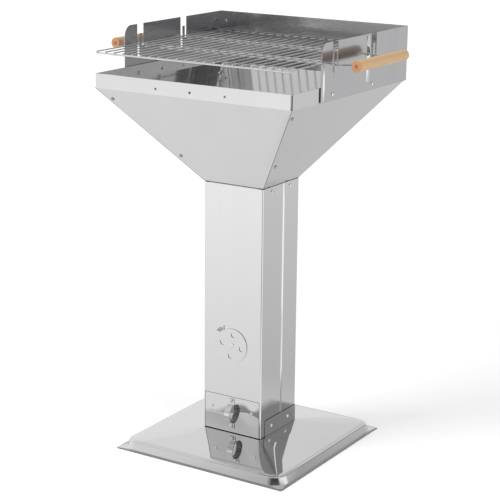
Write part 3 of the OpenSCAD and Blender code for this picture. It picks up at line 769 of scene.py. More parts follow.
class Finishes:
    """Every finish of the grill, as its material."""

    def __init__(self) -> None:
        """Makes the materials."""
        plain = {"lines": Lines.NONE}
        zinc = {"lines": Lines.NONE, "fineness": 2500.0, "swell_depth": 0.0}
        wire = {"lines": Lines.NONE, "swell_size": 60.0}
        # Painted shade lines: the shadow gap where the funnel's foot meets the column, and the one above the
        # cradle legs.
        funnel_foot_shade = ((0, 0, 606.9), (200, 200, 0.9))
        cradle_top_shade = tuple(((x, 9, 76.4), (0.5, 65, 0.6)) for x in (75, -75))
        dents = ((-52, 94.1, 12, 0.15), (52, 94.1, 14, 0.5), (24, 80, 18, -0.3), (22, 42, 75, -2.8))
        self.funnel = steel("funnel_steel", 0.09, 0.13, joints=(funnel_foot_shade,))
        self.pan = steel("pan_steel", 0.03, 0.06, swell_size=9.0, swell_depth=0.1 * MM, **plain)
        # Painted shade: the pan's hem is a darker steel for the dark line where it meets the floor.
        self.hem = steel("hem_painted_shade", 0.15, 0.3, 0.45, 0.36, **plain)
        # Rough tab steel, paler than the disc: the roughness is real, the paler grey a painted highlight.
        self.tab = steel("tab_rough_with_painted_highlight", 0.5, 0.6, 0.92, 0.88, **plain)
        self.column = steel("column_steel", 0.05, 0.09, 0.82, 0.79, joints=cradle_top_shade)
        # Dark rough steel for sheared edges, which also paints shade on the inside of the drawer's strap.
        self.sheared = steel("sheared_edge_and_strap_shade", 0.3, 0.45, 0.3, 0.2, **plain)
        self.drawer = steel("drawer_steel", 0.04, 0.07, 0.82, 0.79, dents=dents)
        self.shield = steel("shield_steel", 0.13, 0.18, colour=(0.628, 0.628, 0.642, 1.0),
                            dull_colour=(0.58, 0.58, 0.595, 1.0), swell_depth=0.08 * MM)
        self.tray = steel("tray_steel", 0.3, 0.45, 0.5, 0.42, line_depth=0.02 * MM)
        self.screw = steel("bright_zinc", 0.12, 0.25, 0.88, 0.7, **zinc)
        # Duller, darker zinc for the funnel's screws: the roughness is real, the darker grey painted shade.
        self.dull_shaded_screw = steel("dull_zinc_painted_shade", 0.2, 0.35, 0.5, 0.4, **zinc)
        self.wire = steel("chromed_wire", 0.1, 0.2, 0.84, 0.7, swell_depth=0.06 * MM, **wire)
        self.charcoal_wire = steel("plain_wire", 0.3, 0.5, colour=grey(0.42, 0.03),
                                   dull_colour=grey(0.3, 0.05), swell_depth=0.08 * MM, **wire)
        right = (300 * MM, 13.75 * MM, 889.5 * MM)
        left = (-300 * MM, 13.75 * MM, 889.5 * MM)
        self.wood_right = WoodFinish("right_grip_wood", (-0.318, 0.0, -0.871), right).material()
        self.wood_left = WoodFinish("left_grip_wood", (0.283, 0.07, -0.876), left).material()


# Seating of pieces


def dress(node: str, finish: Material) -> None:
    """Gives a CAD node that stays its material.

    Args:
        node: Name of the node.
        finish: Its material.
    """
    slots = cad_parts[node].data.materials
    for n in range(len(slots)):
        slots[n] = finish
    if not slots:
        slots.append(finish)
    log.info("dressed %s in %s", node, finish.name)


def seat(made: Object, body: str, slot: str, finish: Material, *nodes: str) -> None:
    """Dresses a new piece, names its body, and hides the nodes that it stands for.

    Args:
        made: The new piece.
        body: CAD body on which it rides.
        slot: Material slot of the record; not used.
        finish: Its material.
        *nodes: CAD nodes that it replaces.
    """
    made.data.materials.append(finish)
    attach(made, body)
    if nodes:
        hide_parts(*nodes)
    log.info("built %s on %s, %d faces", made.name, body, len(made.data.polygons))


def fit(name: str, node: str, kind: Fastener, places: list[Place], finish: Material,
        body: str = "stand") -> None:
    """Builds one object of equal fasteners, each turned a little further, and seats it.

    Args:
        name: Name of the object.
        node: CAD node that it replaces.
        kind: Size of the fasteners.
        places: Where they sit.
        finish: Their material.
        body: CAD body on which they ride.
    """
    one = kind.patch()
    row = []
    for n, place in enumerate(places):
        turn = basis_from_axis(np.array(place.axis, dtype=float)) @ turn_z(37.0 * n)
        row.append(one.moved(turn, np.array(place.at)))
    seat(mesh_object(name, joined(row), 50.0), body, "fastener", finish, node)


def sheet_copy(node: str, edge: float = 0.22 * MM, trim: tuple[float, float] | None = None) -> Object:
    """A copy of a CAD node's sheet with its points merged, its bends smooth and its cut edges broken.

    Narrow faces that meet both their neighbours squarely are sheared edges, and take material 1.

    Args:
        node: Name of the node.
        edge: Width of the broken edges.
        trim: Height of the sheet's top edge and how far it is cut down, or None.

    Returns:
        The copy, named after the node.
    """
    sheet_t, merge, bend_deg = 0.65 * MM, 0.002 * MM, 32.0
    shape = bmesh.new()
    shape.from_mesh(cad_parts[node].data)
    bmesh.ops.remove_doubles(shape, verts=shape.verts, dist=merge)
    bmesh.ops.dissolve_limit(shape, angle_limit=math.radians(0.6), verts=shape.verts, edges=shape.edges)
    for face in shape.faces:
        face.smooth = True
        long_edges = [e for e in face.edges if e.calc_length() > 2 * MM]
        square_cut = all(e.is_manifold and e.calc_face_angle(0.0) > 1.0 for e in long_edges)
        face.material_index = int(square_cut and face.calc_area() < sheet_t * face.calc_perimeter())
    for point in shape.verts:
        if trim and point.co.z > trim[0] - 0.5 * MM:
            point.co.z -= trim[1]
    made = linked(node + "_sheet", bpy.data.meshes.new(node + "_sheet"))
    shape.to_mesh(made.data)
    shape.free()
    bevel = made.modifiers.new("edge", "BEVEL")
    bevel.limit_method = "ANGLE"
    bevel.angle_limit = math.radians(bend_deg)
    bevel.width = edge
    bevel.segments = 2
    bevel.use_clamp_overlap = True
    made.modifiers.new("flat", "WEIGHTED_NORMAL").weight = 60
    return made


def seat_sheet(node: str, body: str, slot: str, finish: Material, cut: Material, **shape: object) -> Object:
    """Builds the sheet copy of a node, with its cut edges in their own material, and seats it.

    Args:
        node: CAD node that is copied and replaced.
        body: CAD body on which it rides.
        slot: Material slot of the record; passed on to seat, which doesn't use it.
        finish: Its material.
        cut: Material of the cut edges.
        **shape: Edge width and trim of the copy.

    Returns:
        The seated piece.
    """
    copy = sheet_copy(node, **shape)
    seat(copy, body, slot, finish, node)
    copy.data.materials.append(cut)
    return copy


# Sub-assemblies


@dataclass
class Base:
    """The pressed pan with its hemmed flange, and the cradle under the column."""

    flange_half: float = 216 * MM
    foot_half: float = 209 * MM
    edge_half: float = 203 * MM
    seat_half: float = 78 * MM
    flange_top: float = 2.6 * MM
    edge_z: float = 19 * MM
    seat_z: float = 37.7 * MM
    seat_corner: float = 8 * MM
    edge_leg: float = 17 * MM
    foot_leg: float = 22 * MM
    hem_corner: tuple = (1.2 * MM, 1.1 * MM)
    sheet: float = 1.0 * MM
    bends: tuple = (9 * MM, 2.6 * MM, 1.1 * MM)
    hip: float = 22 * MM
    crease: tuple = ((5.4, 0.0), (4.7, 0.3), (4.2, 0.45), (3.7, 0.3), (3.0, 0.0))
    bolt_x: float = 68 * MM
    bolt_y: tuple = (-42 * MM, 60 * MM)
    foot_y: tuple = (-30 * MM, 40 * MM)
    column_half: float = 75 * MM
    screw_z: float = 57.2 * MM

    @staticmethod
    def ring(half: float, leg: float, rounding: float, per_corner: int = 5) -> Array:
        """A square with bevelled corners, anticlockwise from above. Each of its eight corners is an arc
        whose centre lies on the bisector, rounding / cos(22.5 degrees) inside the corner.

        Args:
            half: Half width of the square.
            leg: Leg of the bevel at each corner.
            rounding: Radius of the arcs.
            per_corner: Points in each arc.

        Returns:
            Points of shape (8 * per_corner, 2).
        """
        c = half - leg
        corners = np.array([[half, -c], [half, c], [c, half], [-c, half],
                            [-half, c], [-half, -c], [-c, -half], [c, -half]])
        bisector = np.radians(45 * np.arange(8) - 22.5)
        inside = rounding / math.cos(math.radians(22.5))
        centre = corners - inside * np.stack([np.cos(bisector), np.sin(bisector)], 1)
        a = bisector[:, None] + np.radians(np.linspace(-22.5, 22.5, per_corner))
        arc = centre[:, None] + rounding * np.stack([np.cos(a), np.sin(a)], -1)
        return arc.reshape(-1, 2)

    def profile(self) -> Array:
        """The pan's section from the seat out to the hem.

        The straight legs of the section meet in curves (1 - s)^2 a + 2 s (1 - s) b + s^2 c, with b the
        corner and a and c the ends of its bend. Along the slope the corner radius swells by
        hip sin(pi s), which softens the lines up to the column. A fine pressed crease runs just
        inside the edge: distances before it and drops, in millimetres.

        Returns:
            Rows of half width, height, leg of the bevelled corner and corner radius.
        """
        leg = 2 - math.sqrt(2)
        keys = np.array([
            [20 * MM, self.seat_z, 1 * MM, 1 * MM],
            [self.seat_half, self.seat_z, self.seat_corner * leg, self.seat_corner],
            [self.edge_half, self.edge_z, self.edge_leg, self.edge_leg / leg],
            [self.foot_half, self.flange_top, self.foot_leg, 0.8 * self.foot_leg / leg],
            [self.flange_half - self.flange_top / 2, self.flange_top, *self.hem_corner],
        ])
        rows = [keys[0]]
        for k, radius in enumerate(self.bends, 1):
            here, before, after = keys[k], keys[k - 1] - keys[k], keys[k + 1] - keys[k]
            back, ahead = np.linalg.norm(before[:2]), np.linalg.norm(after[:2])
            cut = radius / math.tan(math.acos(before[:2] @ after[:2] / (back * ahead)) / 2)
            start, end = here + before * cut / back, here + after * cut / ahead
            s = np.linspace(0, 1, 6)[:, None]
            rows.extend((1 - s) ** 2 * start + 2 * s * (1 - s) * here + s ** 2 * end)
            if k == 1:
                share = np.linspace(0, 1, 14)[1:-1, None]
                slope = end + (keys[2] - end) * share * 0.98
                slope[:, 2:] += self.hip * np.sin(math.pi * share) * (leg, 1.0)
                rows.extend(slope)
                inwards = (keys[1] - keys[2]) / np.linalg.norm(keys[1, :2] - keys[2, :2])
                for before_edge, drop in self.crease:
                    rows.append(keys[2] + inwards * before_edge * MM - (0.0, drop * MM, 0.0, 0.0))
        rows.append(keys[4])
        hem = self.flange_top / 2
        for a in np.linspace(math.pi / 2, -math.pi / 2, 7)[1:]:
            out, up = hem * math.cos(a) - hem, hem * math.sin(a) + hem
            rows.append([self.flange_half + out, up, *self.hem_corner])
        rows.append([self.foot_half + 0.5 * MM, 0.0, *self.hem_corner])
        return np.array(rows)

    def build(self, f: Finishes) -> None:
        """Builds the pan and the screws, and dresses the cradle.

        Args:
            f: Materials of the grill.
        """
        rings = []
        for half, z, leg, rounding in self.profile():
            flat = self.ring(half, leg, rounding)
            rings.append(np.column_stack([flat, np.full(len(flat), z)]))
        pan = mesh_object("pan", grid_patch(np.array(rings[::-1]), ends=(False, True)), 60.0)
        wall = pan.modifiers.new("wall", "SOLIDIFY")
        wall.thickness = self.sheet
        wall.offset = -1.0
        seat(pan, "stand", "polished_sheet", f.pan, "base_pan")
        # The hem's low outer faces take the darker steel, painted shade along the pan's foot.
        pan.data.materials.append(f.hem)
        for face in pan.data.polygons:
            low, wide = sorted(abs(v) for v in face.center[:2])
            outer = wide > self.foot_half and low < self.foot_half - self.foot_leg / 2
            face.material_index = int(outer and face.center[2] < self.flange_top + 0.05 * MM)
        top = self.seat_z + self.sheet
        bolts = [Place((s * self.bolt_x, y, top), (0, 0, 1)) for s in (-1, 1) for y in self.bolt_y]
        fit("cradle_bolt_set", "cradle_bolts", Fastener(6.6 * MM), bolts, f.screw)
        feet = side_places(self.column_half + self.sheet, self.foot_y, self.screw_z)
        fit("foot_screw_set", "foot_screws", Fastener(6.2 * MM), feet, f.screw)
        seat_sheet("foot_cradle", "stand", "polished_sheet", f.column, f.sheared)
        dress("cradle_nuts", f.screw)
        dress("foot_nuts", f.screw)


@dataclass
class Column:
    """The two channels of the column and their screws."""

    half: float = 75 * MM
    screw_y: tuple = (-37.5 * MM, 37.5 * MM)
    screw_z: float = 594.7 * MM
    top: float = 606.7 * MM
    top_gap: float = 1.5 * MM
    seam_y: float = 11.5 * MM
    lip_w: float = 4.2 * MM
    lip_h: float = 1.6 * MM
    lip_foot: float = 76.3 * MM

    def seam_lips(self) -> Patch:
        """The front channel's lapped edge on each side: over its last few millimetres it leans out by
        about 21 degrees, and its cut edge is rounded. It runs out into the side at both ends.

        Returns:
            The lips of both sides.
        """
        h, y = self.lip_h, self.seam_y
        section = np.array([[-0.3 * MM, y - self.lip_w], [0.0, y - self.lip_w], [0.93 * h, y - 0.3 * MM],
                            [h, y - 0.12 * MM], [0.98 * h, y], [-0.3 * MM, y]])
        end = self.top - self.top_gap
        rise = np.array([self.lip_foot, self.lip_foot + 1 * MM, end - 30 * MM, end])
        return upright_strip(self.half, section, rise, np.array([0.2, 1.0, 1.0, 0.1]))

    def build(self, f: Finishes) -> None:
        """Builds the screws, the channels and the lips along their seams.

        Args:
            f: Materials of the grill.
        """
        places = side_places(self.half, self.screw_y, self.screw_z)
        fit("column_screw_set", "column_screws", Fastener(6.6 * MM), places, f.screw)
        for node in ("column_front", "column_rear"):
            seat_sheet(node, "stand", "column_sheet", f.column, f.sheared, trim=(self.top, self.top_gap))
        seat(mesh_object("seam_lips", self.seam_lips(), 50.0), "stand", "column_sheet", f.column)
        dress("column_nuts", f.screw)


@dataclass
class AirControl:
    """The air disc and its rivet."""

    rivet_z: float = 244 * MM
    rivet_y: float = -76.48 * MM
    disc_r: float = 38.5 * MM

    def build(self, f: Finishes) -> None:
        """Builds the rivet and dresses the disc, with a finger tab of rough steel whose paler grey is a
        painted highlight.

        Args:
            f: Materials of the grill.
        """
        kind = Fastener(3.3 * MM, Head.RIVET, head_r=5 * MM, head_h=1.3 * MM, shank_r=2 * MM)
        place = Place((0, self.rivet_y, self.rivet_z), (0, -1, 0))
        fit("air_rivet", "air_disc_rivet", kind, [place], f.screw)
        disc = seat_sheet("air_disc", "air_damper", "column_sheet", f.column, f.sheared)
        # Faces past the disc's edge, the finger tab, take the paler steel of its painted highlight.
        disc.data.materials.append(f.tab)
        for face in disc.data.polygons:
            if math.hypot(face.center[0], face.center[2] - self.rivet_z) > self.disc_r + 1 * MM:
                face.material_index = 2


@dataclass
class AshDrawer:
    """The drawer's front, its tray, strap handle, rivets and screws."""

    face_y: float = -75 * MM
    rivet_x: float = 52 * MM
    rivet_z: float = 94.1 * MM
    strap_t: float = 1.2 * MM
    strap_r: float = 21.5 * MM
    strap_z: float = 84.1 * MM
    screw_z: tuple = (54.1 * MM, 114.1 * MM)

    def build(self, f: Finishes) -> None:
        """Builds the rivets and screws, and dresses the rest, with the strap's inside in material 1, the
        dark cut-edge steel as painted shade.

        Args:
            f: Materials of the grill.
        """
        kind = Fastener(2.8 * MM, Head.RIVET, head_r=3.5 * MM, head_h=1.3 * MM, shank_r=2 * MM)
        places = [Place((s * self.rivet_x, self.face_y, self.rivet_z), (0, -1, 0)) for s in (-1, 1)]
        fit("drawer_rivet_set", "drawer_rivets", kind, places, f.screw, "ash_drawer")
        places = [Place((0, self.face_y - self.strap_t, z), (0, -1, 0)) for z in self.screw_z]
        fit("handle_screw_set", "handle_screws", Fastener(7.2 * MM), places, f.screw, "ash_drawer")
        seat_sheet("drawer_front", "ash_drawer", "column_sheet", f.drawer, f.sheared)
        strap = seat_sheet("drawer_handle", "ash_drawer", "polished_sheet", f.column, f.sheared)
        # Painted shade: the strap's inner faces take the dark cut-edge steel.
        for face in strap.data.polygons:
            y, z = face.center[1] - self.face_y, face.center[2] - self.strap_z
            away = math.hypot(y, z)
            if away < self.strap_r and face.normal[1] * y + face.normal[2] * z < -0.5 * away:
                face.material_index = 1
        seat_sheet("ash_tray", "ash_drawer", "tray_sheet", f.tray, f.tray)
        dress("handle_nuts", f.screw)


@dataclass
class Funnel:
    """The four funnel panels and the screws along their corners."""

    column_half: float = 75 * MM
    rim_half: float = 241.3 * MM
    foot_z: float = 606.7 * MM
    rise: float = 209.2 * MM
    screws: tuple = ((18 * MM, 59.5 * MM), (14 * MM, 186 * MM))

    def screw_places(self) -> list[Place]:
        """Places of the eight panel screws: two on each panel, beside its left edge.

        A point of the front panel at height h is (x, -half(h), foot + h), with half(h) going from the
        column's half width to the rim's, and the panel's outward direction is (0, -rise, -run) made
        one long.

        Returns:
            The places, panel by panel.
        """
        run = self.rim_half - self.column_half
        axis = unit(np.array([0, -self.rise, -run]))
        places = []
        for quarter in range(4):
            turn = turn_z(90 * quarter)
            for inset, h in self.screws:
                half = self.column_half + run * h / self.rise
                at = turn @ np.array([-half + inset, -half, self.foot_z + h])
                places.append(Place(tuple(at), tuple(turn @ axis)))
        return places

    def build(self, f: Finishes) -> None:
        """Builds the screws and dresses the panels.

        Args:
            f: Materials of the grill.
        """
        fit("funnel_screw_set", "funnel_screws", Fastener(6.7 * MM), self.screw_places(), f.dull_shaded_screw)
        for node in ("funnel_front", "funnel_right", "funnel_rear", "funnel_left"):
            seat_sheet(node, "stand", "polished_sheet", f.funnel, f.sheared, edge=0.3 * MM)
        dress("funnel_nuts", f.screw)


@dataclass
class WindShield:
    """The three walls with their height slots, screws and corner bolts."""

    wall_out: float = 243.6 * MM
    wall_in: float = 242.6 * MM
    screw_at: float = 85 * MM
    screw_z: float = 828.1 * MM
    bolt_x: float = 227.6 * MM
    bolt_z: tuple = (911.9 * MM, 861.9 * MM)
    fold_w: float = 11 * MM
    fold_h: float = 2.2 * MM
    folds: tuple = ((-132.1 * MM, 816 * MM, 896 * MM), (57.5 * MM, 834 * MM, 931 * MM))

    def open_fold(self, start: float, low: float, high: float) -> Patch:
        """An open fold in both side walls: it leans out steadily up to its rounded rear edge, and runs
        out into the wall at its upper end.

        Args:
            start: Place of its front edge.
            low: Height of its foot.
            high: Height of its upper end.

        Returns:
            The surface on both walls.
        """
        share = np.array([0, 0.3, 0.6, 0.9, 0.96, 0.99, 1.0])
        lean = np.array([0, 0.3, 0.6, 0.9, 0.94, 0.85, 0.4])
        section = np.stack([self.fold_h * lean, start + self.fold_w * share], 1)
        section = np.concatenate([section, [[-0.4 * MM, start + self.fold_w], [-0.4 * MM, start]]])
        rise = np.array([low, low + 1 * MM, high - 30 * MM, high - 14 * MM, high])
        return upright_strip(self.wall_out, section, rise, np.array([0.5, 1.0, 1.0, 0.6, 0.0]))

    def build(self, f: Finishes) -> None:
        """Builds the walls with their folds, screws and bolts.

        Args:
            f: Materials of the grill.
        """
        folds = joined([self.open_fold(*place) for place in self.folds])
        seat(mesh_object("shield_folds", folds, 50.0), "stand", "polished_sheet", f.column)
        places = []
        for s in (-1, 1):
            places += side_places(self.wall_out, (s * self.screw_at,), self.screw_z)
            places.append(Place((s * self.screw_at, self.wall_out, self.screw_z), (0, 1, 0)))
        fit("shield_screw_set", "shield_screws", Fastener(7.3 * MM), places, f.screw)
        flange = self.wall_in - 1 * MM
        bolts = [Place((s * self.bolt_x, flange, z), (0, -1, 0)) for s in (-1, 1) for z in self.bolt_z]
        fit("corner_bolt_set", "corner_bolts", Fastener(6.6 * MM), bolts, f.screw)
        for node in ("shield_left", "shield_right", "shield_back"):
            seat_sheet(node, "stand", "polished_sheet", f.shield, f.sheared)
        dress("shield_nuts", f.screw)
        dress("corner_nuts", f.screw)


@dataclass
class CookingGrate:
    """The welded grate, its handle rods and the wooden grips."""

    half_x: float = 239 * MM
    front: float = -240 * MM
    rear: float = 234 * MM
    bar_count: int = 22
    bar_step: float = 22.5 * MM
    bar_d: float = 3 * MM
    wire_d: float = 4 * MM
    rod_d: float = 4.5 * MM
    rod_z: float = 885.3 * MM
    cross_z: float = 889.55 * MM
    bar_z: float = 893.05 * MM
    weld: tuple = (2.1 * MM, 2.3 * MM, 1.1 * MM)
    rod_y: tuple = (-68.25 * MM, 95.75 * MM)
    rise_from: float = 248.6 * MM
    rod_bend: float = 6 * MM
    grip_x: float = 300 * MM
    grip_y: float = 13.75 * MM
    grip_z: float = 889.5 * MM
    grip_l: float = 211 * MM
    grip_d: float = 23.5 * MM
    grip_edge: float = 2.0 * MM

    def bars(self) -> Patch:
        """The bars, with a flattened ball at each crossing of a bar with a wire below it.

        Returns:
            The bars and the welds.
        """
        places = spread(self.bar_count, self.bar_step)
        row = bar_row(places, self.front, self.rear, self.bar_z, self.bar_d)
        level = (self.bar_z + self.cross_z) / 2 + 0.2 * MM
        wires = (self.front + 2 * MM, *self.rod_y, self.rear - 2 * MM)
        size = np.array(self.weld)
        return joined([row] + [weld_patch(np.array([x, y, level]), size) for x in places for y in wires])

    def rod(self, y: float) -> Patch:
        """One handle rod: level under the grate, then up into the grips.

        The height is z = rod_z + rise * b(s), where s runs from 0 at the bend to 1 at the grip's axis
        and b is the line s with its foot rounded over the bend's length.

        Args:
            y: Place of the rod along Y.

        Returns:
            The closed surface.
        """
        start, bend = self.rise_from, self.rod_bend
        x = np.concatenate([np.linspace(0, start - 8 * MM, 6), np.linspace(start - 5 * MM, start + bend, 9),
                            np.linspace(start + 12 * MM, self.grip_x + 5 * MM, 5)])
        grade = (self.grip_z - self.rod_z) / (self.grip_x - start)
        past = x - start
        curve = np.where(past > bend, past, (past + bend) ** 2 / (4 * bend))
        z = self.rod_z + grade * np.where(past < -bend, 0, curve)
        across, height = np.concatenate([-x[:0:-1], x]), np.concatenate([z[:0:-1], z])
        return wire_patch(np.stack([across, np.full_like(across, y), height], 1), self.rod_d)

    def grip(self, side: int) -> Patch:
        """A turned dowel: its radius is full along the middle and falls off at each end along a
        quarter circle, then runs in to the middle of the flat end.

        Args:
            side: 1 for the right grip, -1 for the left.

        Returns:
            The closed surface.
        """
        r, edge, half = self.grip_d / 2, self.grip_edge, self.grip_l / 2
        a = np.linspace(0, math.pi / 2, 6)
        radius = np.concatenate([[0.35 * r, 0.7 * r], r - edge + edge * np.sin(a), [r]])
        height = np.concatenate([[half, half], half - edge * (1 - np.cos(a)), [0.4 * half]])
        turned = lathe_patch(np.concatenate([radius, radius[::-1]]), np.concatenate([-height, height[::-1]]))
        along = np.array([[1.0, 0, 0], [0, 0, 1], [0, -1, 0]])
        return turned.moved(along, np.array([side * self.grip_x, self.grip_y, self.grip_z]))

    def build(self, f: Finishes) -> None:
        """Builds every piece of the grate.

        Args:
            f: Materials of the grill.
        """
        ends = (self.front + self.wire_d / 2, self.rear - self.wire_d / 2)
        wires = {
            "grate_bar_row": (self.bars(), "grate_bars"),
            "grate_end_pair": (cross_wires(self.half_x, ends, self.cross_z, self.wire_d), "grate_end_wires"),
            "grate_cross_pair": (cross_wires(self.half_x, self.rod_y, self.cross_z, self.wire_d),
                                 "grate_cross_wires"),
            "handle_rod_pair": (joined([self.rod(y) for y in self.rod_y]), "handle_rods", "rod_ends"),
        }
        for name, (patch, *nodes) in wires.items():
            seat(mesh_object(name, patch), "cooking_grate", "grate_wire", f.wire, *nodes)
        for side, word, wood in ((1, "right", f.wood_right), (-1, "left", f.wood_left)):
            grip = mesh_object("wooden_grip_" + word, self.grip(side), 30.0)
            seat(grip, "cooking_grate", "grip_wood", wood, "grip_" + word)


@dataclass
class CharcoalGrate:
    """The grate in the funnel: a ring of wire, bars on it and two cross wires."""

    half: float = 167.5 * MM
    ring_z: float = 730.9 * MM
    bar_z: float = 735.4 * MM
    ring_d: float = 5 * MM
    bar_d: float = 4 * MM
    bar_count: int = 19
    bar_step: float = 17 * MM
    cross_y: tuple = (-55 * MM, 55 * MM)

    def build(self, f: Finishes) -> None:
        """Builds the bars and the cross wires with rounded ends, and dresses the ring.

        Args:
            f: Materials of the grill.
        """
        bars = bar_row(spread(self.bar_count, self.bar_step), -self.half, self.half, self.bar_z, self.bar_d)
        cross = cross_wires(self.half - self.ring_d / 2, self.cross_y, self.ring_z, self.ring_d)
        for name, patch, node in (("charcoal_bar_row", bars, "charcoal_bars"),
                                  ("charcoal_cross_pair", cross, "charcoal_cross_wires")):
            seat(mesh_object(name, patch), "charcoal_grate", "charcoal_wire", f.charcoal_wire, node)
        dress("charcoal_frame", f.charcoal_wire)


# Studio


def set_at(made: Object, turn: Array, place: Array) -> None:
    """Places an object by a 3x3 turn and a point.

    Args:
        made: The object.
        turn: Its axes, as columns.
        place: Its origin.
    """
    matrix = np.eye(4)
    matrix[:3, :3] = turn
    matrix[:3, 3] = place
    made.matrix_world = Matrix(matrix.tolist())


@dataclass
class Studio:
    """The camera at the photograph's view, the pale floor, the sky and the lamps.

    Polished sheet mirrors the floor and the sky as tones: a side is its direction and the cosines
    where it begins and is full, and a span is a range of distances, heights or directions followed
    by the tones or shares at its two ends.
    """

    azimuth: float = 32.224
    pitch: float = 15.081
    roll: float = 0.59
    distance: float = 3.44426
    shift_x: float = -3.156 * MM
    aim_z: float = 445.389 * MM
    lens: float = 112.081
    floor_half: float = 30.0
    dark_side: tuple = (0.533, -0.846, 0.8, 0.94)
    bright_side: tuple = (0.978, 0.208, 0.79, 0.88)
    dark_share: float = 0.7
    lit_from: tuple = (-0.35, -0.94)
    floor_reach: float = 4.0
    floor_tones: tuple = ((-3.4, 0.67), (3.3, 0.95), (-2.0, 0.585), (-1.0, 0.54), (-0.5, 0.49),
                          (0.14, 0.73), (0.7, 0.79), (1.4, 0.86), (2.3, 0.92))
    panel_tone: float = 1.1
    panel_from: tuple = (0.2, 0.26)
    panel_rim: tuple = (0.02, 0.08, 1.0, 0.0)
    pan_shadow: tuple = (0.216, 0.25, 0.25, 1.0)
    spot_at: tuple = (-0.065, -0.25, 0.0)
    spot_stretch: tuple = (12.0, 18.0, 0.0)
    spot_span: tuple = (0.6, 1.0, 0.2, 1.0)
    floor_share: float = 0.85
    sky_tone: tuple = (0.39, -0.6, 0.12)
    sky_limits: tuple = (0.18, 0.85)
    skirt_z: float = 0.23
    skirt_span: tuple = (0.05, 0.09, 0.0, 0.2)
    foot_z: float = 0.21
    foot_span: tuple = (0.05, 0.12, 0.1, 0.0)
    rear_way: tuple = (0.62, 0.785)
    zenith: tuple = (0.5, 0.85, 0.62)
    room_light: float = 0.62

    def camera(self) -> None:
        """Places the camera: back is the direction from the aim to the camera, and the picture is
        turned by the roll about it.
        """
        a, e, r = (math.radians(v) for v in (self.azimuth, self.pitch, self.roll))
        back = np.array([math.sin(a) * math.cos(e), -math.cos(a) * math.cos(e), math.sin(e)])
        right = np.array([math.cos(a), math.sin(a), 0.0])
        up = np.cross(back, right)
        place = right * self.shift_x + np.array([0, 0, self.aim_z]) + back * self.distance
        x = math.cos(r) * right + math.sin(r) * up
        y = math.cos(r) * up - math.sin(r) * right
        data = bpy.data.cameras.new("camera")
        data.lens = self.lens
        data.sensor_width = 36.0
        data.sensor_fit = "HORIZONTAL"
        data.clip_end = 200.0
        made = linked("camera", data)
        set_at(made, np.stack([x, y, back], axis=1), place)
        bpy.context.scene.camera = made

    def sides(self, x: Value, y: Value) -> tuple[Value, Value, Value]:
        """Masks of the studio's sides: the dark one about 32 degrees to the right of the front, the
        bright one to the right and 12 degrees to the rear.

        Args:
            x: Share of the direction along X.
            y: Share of the direction along Y.

        Returns:
            The distance from the middle and the two masks.
        """
        far = x.hand.math("SQRT", x * x + y * y)
        masks = []
        for cx, cy, low, high in (self.dark_side, self.bright_side):
            masks.append(((x * cx + y * cy) / far.at_least(0.001)).span(low, high))
        return far, masks[0], masks[1]

    def floor(self) -> None:
        """A pale floor. The camera sees it white, with the grill's shadow. Metal sees it as a studio
        floor that is paler towards the front left, where the light comes from, with a bright panel to
        the right, the shadow of the pan and a painted patch of shade before it.
        """
        h = self.floor_half
        square = np.array([[[-h, -h, 0], [h, -h, 0]], [[-h, h, 0], [h, h, 0]]], dtype=float)
        plane = mesh_object("floor", grid_patch(square, False, (False, False)))
        made = bpy.data.materials.new("floor")
        t = Tree.of(made)
        place = t.get("TexCoord", out="Object")
        x, y, _ = place.parts()
        far, dark, bright = self.sides(x, y)
        toward = x * self.lit_from[0] + y * self.lit_from[1]
        reach = self.floor_reach
        ramp = t.add("ValToRGB", {0: toward.span(-reach, reach)})
        for n, (at, tone) in enumerate(self.floor_tones):
            position = (at + reach) / (2 * reach)
            stops = ramp.color_ramp.elements
            stop = stops[n] if n < 2 else stops.new(position)
            stop.position = position
            stop.color = grey(tone)
        seen = Value(t, ramp.outputs[0]) * (1.0 - dark * far.span(0.6, 1.1, 0.0, self.dark_share))
        behind = y - x * 0.35 - (far - 0.6).at_least(0.0) * 0.5
        panel = bright * (far.span(*self.panel_from) * behind.span(*self.panel_rim))
        seen = seen + panel * (self.panel_tone - seen)
        seen = seen * abs(x).at_least(abs(y)).span(*self.pan_shadow)
        # Painted shade: a dark patch on the floor before the pan, seen only by metal.
        spot = t.stretch(t.vector("SUBTRACT", place, self.spot_at), self.spot_stretch)
        seen = seen * t.vector("LENGTH", spot, out="Value").span(*self.spot_span)
        diffuse = t.get("BsdfDiffuse", {0: t.mix(t.ray("Glossy"), grey(0.92), grey(0.15))})
        plain = t.ray("Camera").at_least(t.ray("Transmission"))
        glow = plain * far.span(0.6, 4.0, 0.2, 0.5) + t.ray("Glossy") * (seen * self.floor_share)
        both = t.get("AddShader", {0: diffuse, 1: t.get("Emission", {0: grey(1.0), 1: glow})})
        t.add("OutputMaterial", {0: both})
        plane.data.materials.append(made)

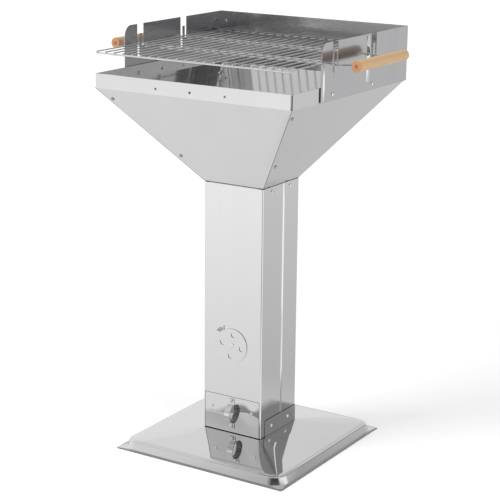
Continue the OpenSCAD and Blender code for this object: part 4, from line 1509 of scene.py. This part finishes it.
    def sky(self) -> None:
        """A plain white room: the camera sees white, and the light has one plain level. Metal sees it
        white along the horizon and greyer above, lighter to the left than to the right, with the
        heights that the funnel's skirt and the column's foot mirror a little changed.
        """
        world = bpy.data.worlds.new("room")
        bpy.context.scene.world = world
        t = Tree.of(world)
        x, y, z = t.get("TexCoord", out="Generated").parts()
        flat, dark, bright = self.sides(x, y)
        flat = flat.at_least(0.001)
        middle, along_x, behind = self.sky_tone
        side = x / flat * along_x + y.at_least(0.0) / flat * behind + middle
        side = side + y.at_most(0.0) / flat * abs(z - self.skirt_z).span(*self.skirt_span)
        side = side.at_least(self.sky_limits[0]).at_most(self.sky_limits[1])
        rear = (x * self.rear_way[0] + y * self.rear_way[1]) / flat
        side = side + abs(z - self.foot_z).span(*self.foot_span) * rear.span(0.7, 0.95)
        low = z.span(0.0, 0.16, 1.0, 0.0) * rear.span(0.6, 0.95, 1.0, 0.55)
        level = side * (1.0 - low) + low
        start, end, tone = self.zenith
        high = z.span(start, end)
        level = level * (1.0 - high) + high * tone
        level = level * (1.0 - dark * self.dark_share * z.span(0.4, 0.7, 1.0, 0.0))
        level = level + bright * z.span(0.3, 0.6, 1.0, 0.0) * (1.0 - level)
        level = t.get("Mix", {0: t.ray("Glossy"), 2: 1.0, 3: level}, data_type="FLOAT")
        seen = t.ray("Camera").at_least(t.ray("Glossy").at_least(t.ray("Transmission")))
        light = t.get("Background", {0: grey(1.0), 1: self.room_light})
        view = t.get("Background", {0: grey(1.0), 1: level})
        t.add("OutputWorld", {0: t.get("MixShader", {0: seen, 1: light, 2: view})})

    def lamp(self, name: str, place: tuple, aim: tuple, size: float, watts: float) -> None:
        """A soft square lamp that metal doesn't mirror.

        Args:
            name: Name of the lamp.
            place: Where it stands.
            aim: The point that it faces.
            size: Its width.
            watts: Its power.
        """
        data = bpy.data.lights.new(name, "AREA")
        data.size = size
        data.energy = watts
        made = linked(name, data)
        set_at(made, basis_from_axis(np.array(place) - np.array(aim)), np.array(place))
        made.visible_glossy = False

    def build(self) -> None:
        """Sets up the camera, the floor, the room and the lamps."""
        self.camera()
        self.floor()
        self.sky()
        self.lamp("key", (-2.4, -3.2, 3.6), (0, 0, 0.5), 2.2, 120.0)
        self.lamp("fill", (3.2, -1.2, 2.4), (0, 0, 0.6), 2.0, 35.0)
        bpy.context.scene.view_settings.view_transform = "Standard"


def main() -> None:
    """Builds the studio and the grill."""
    logging.basicConfig(level=logging.INFO, format="%(message)s")
    Studio().build()
    finishes = Finishes()
    for part in (Base, Column, AirControl, AshDrawer, Funnel, WindShield, CookingGrate, CharcoalGrate):
        part().build(finishes)


if __name__ == "__main__":
    main()
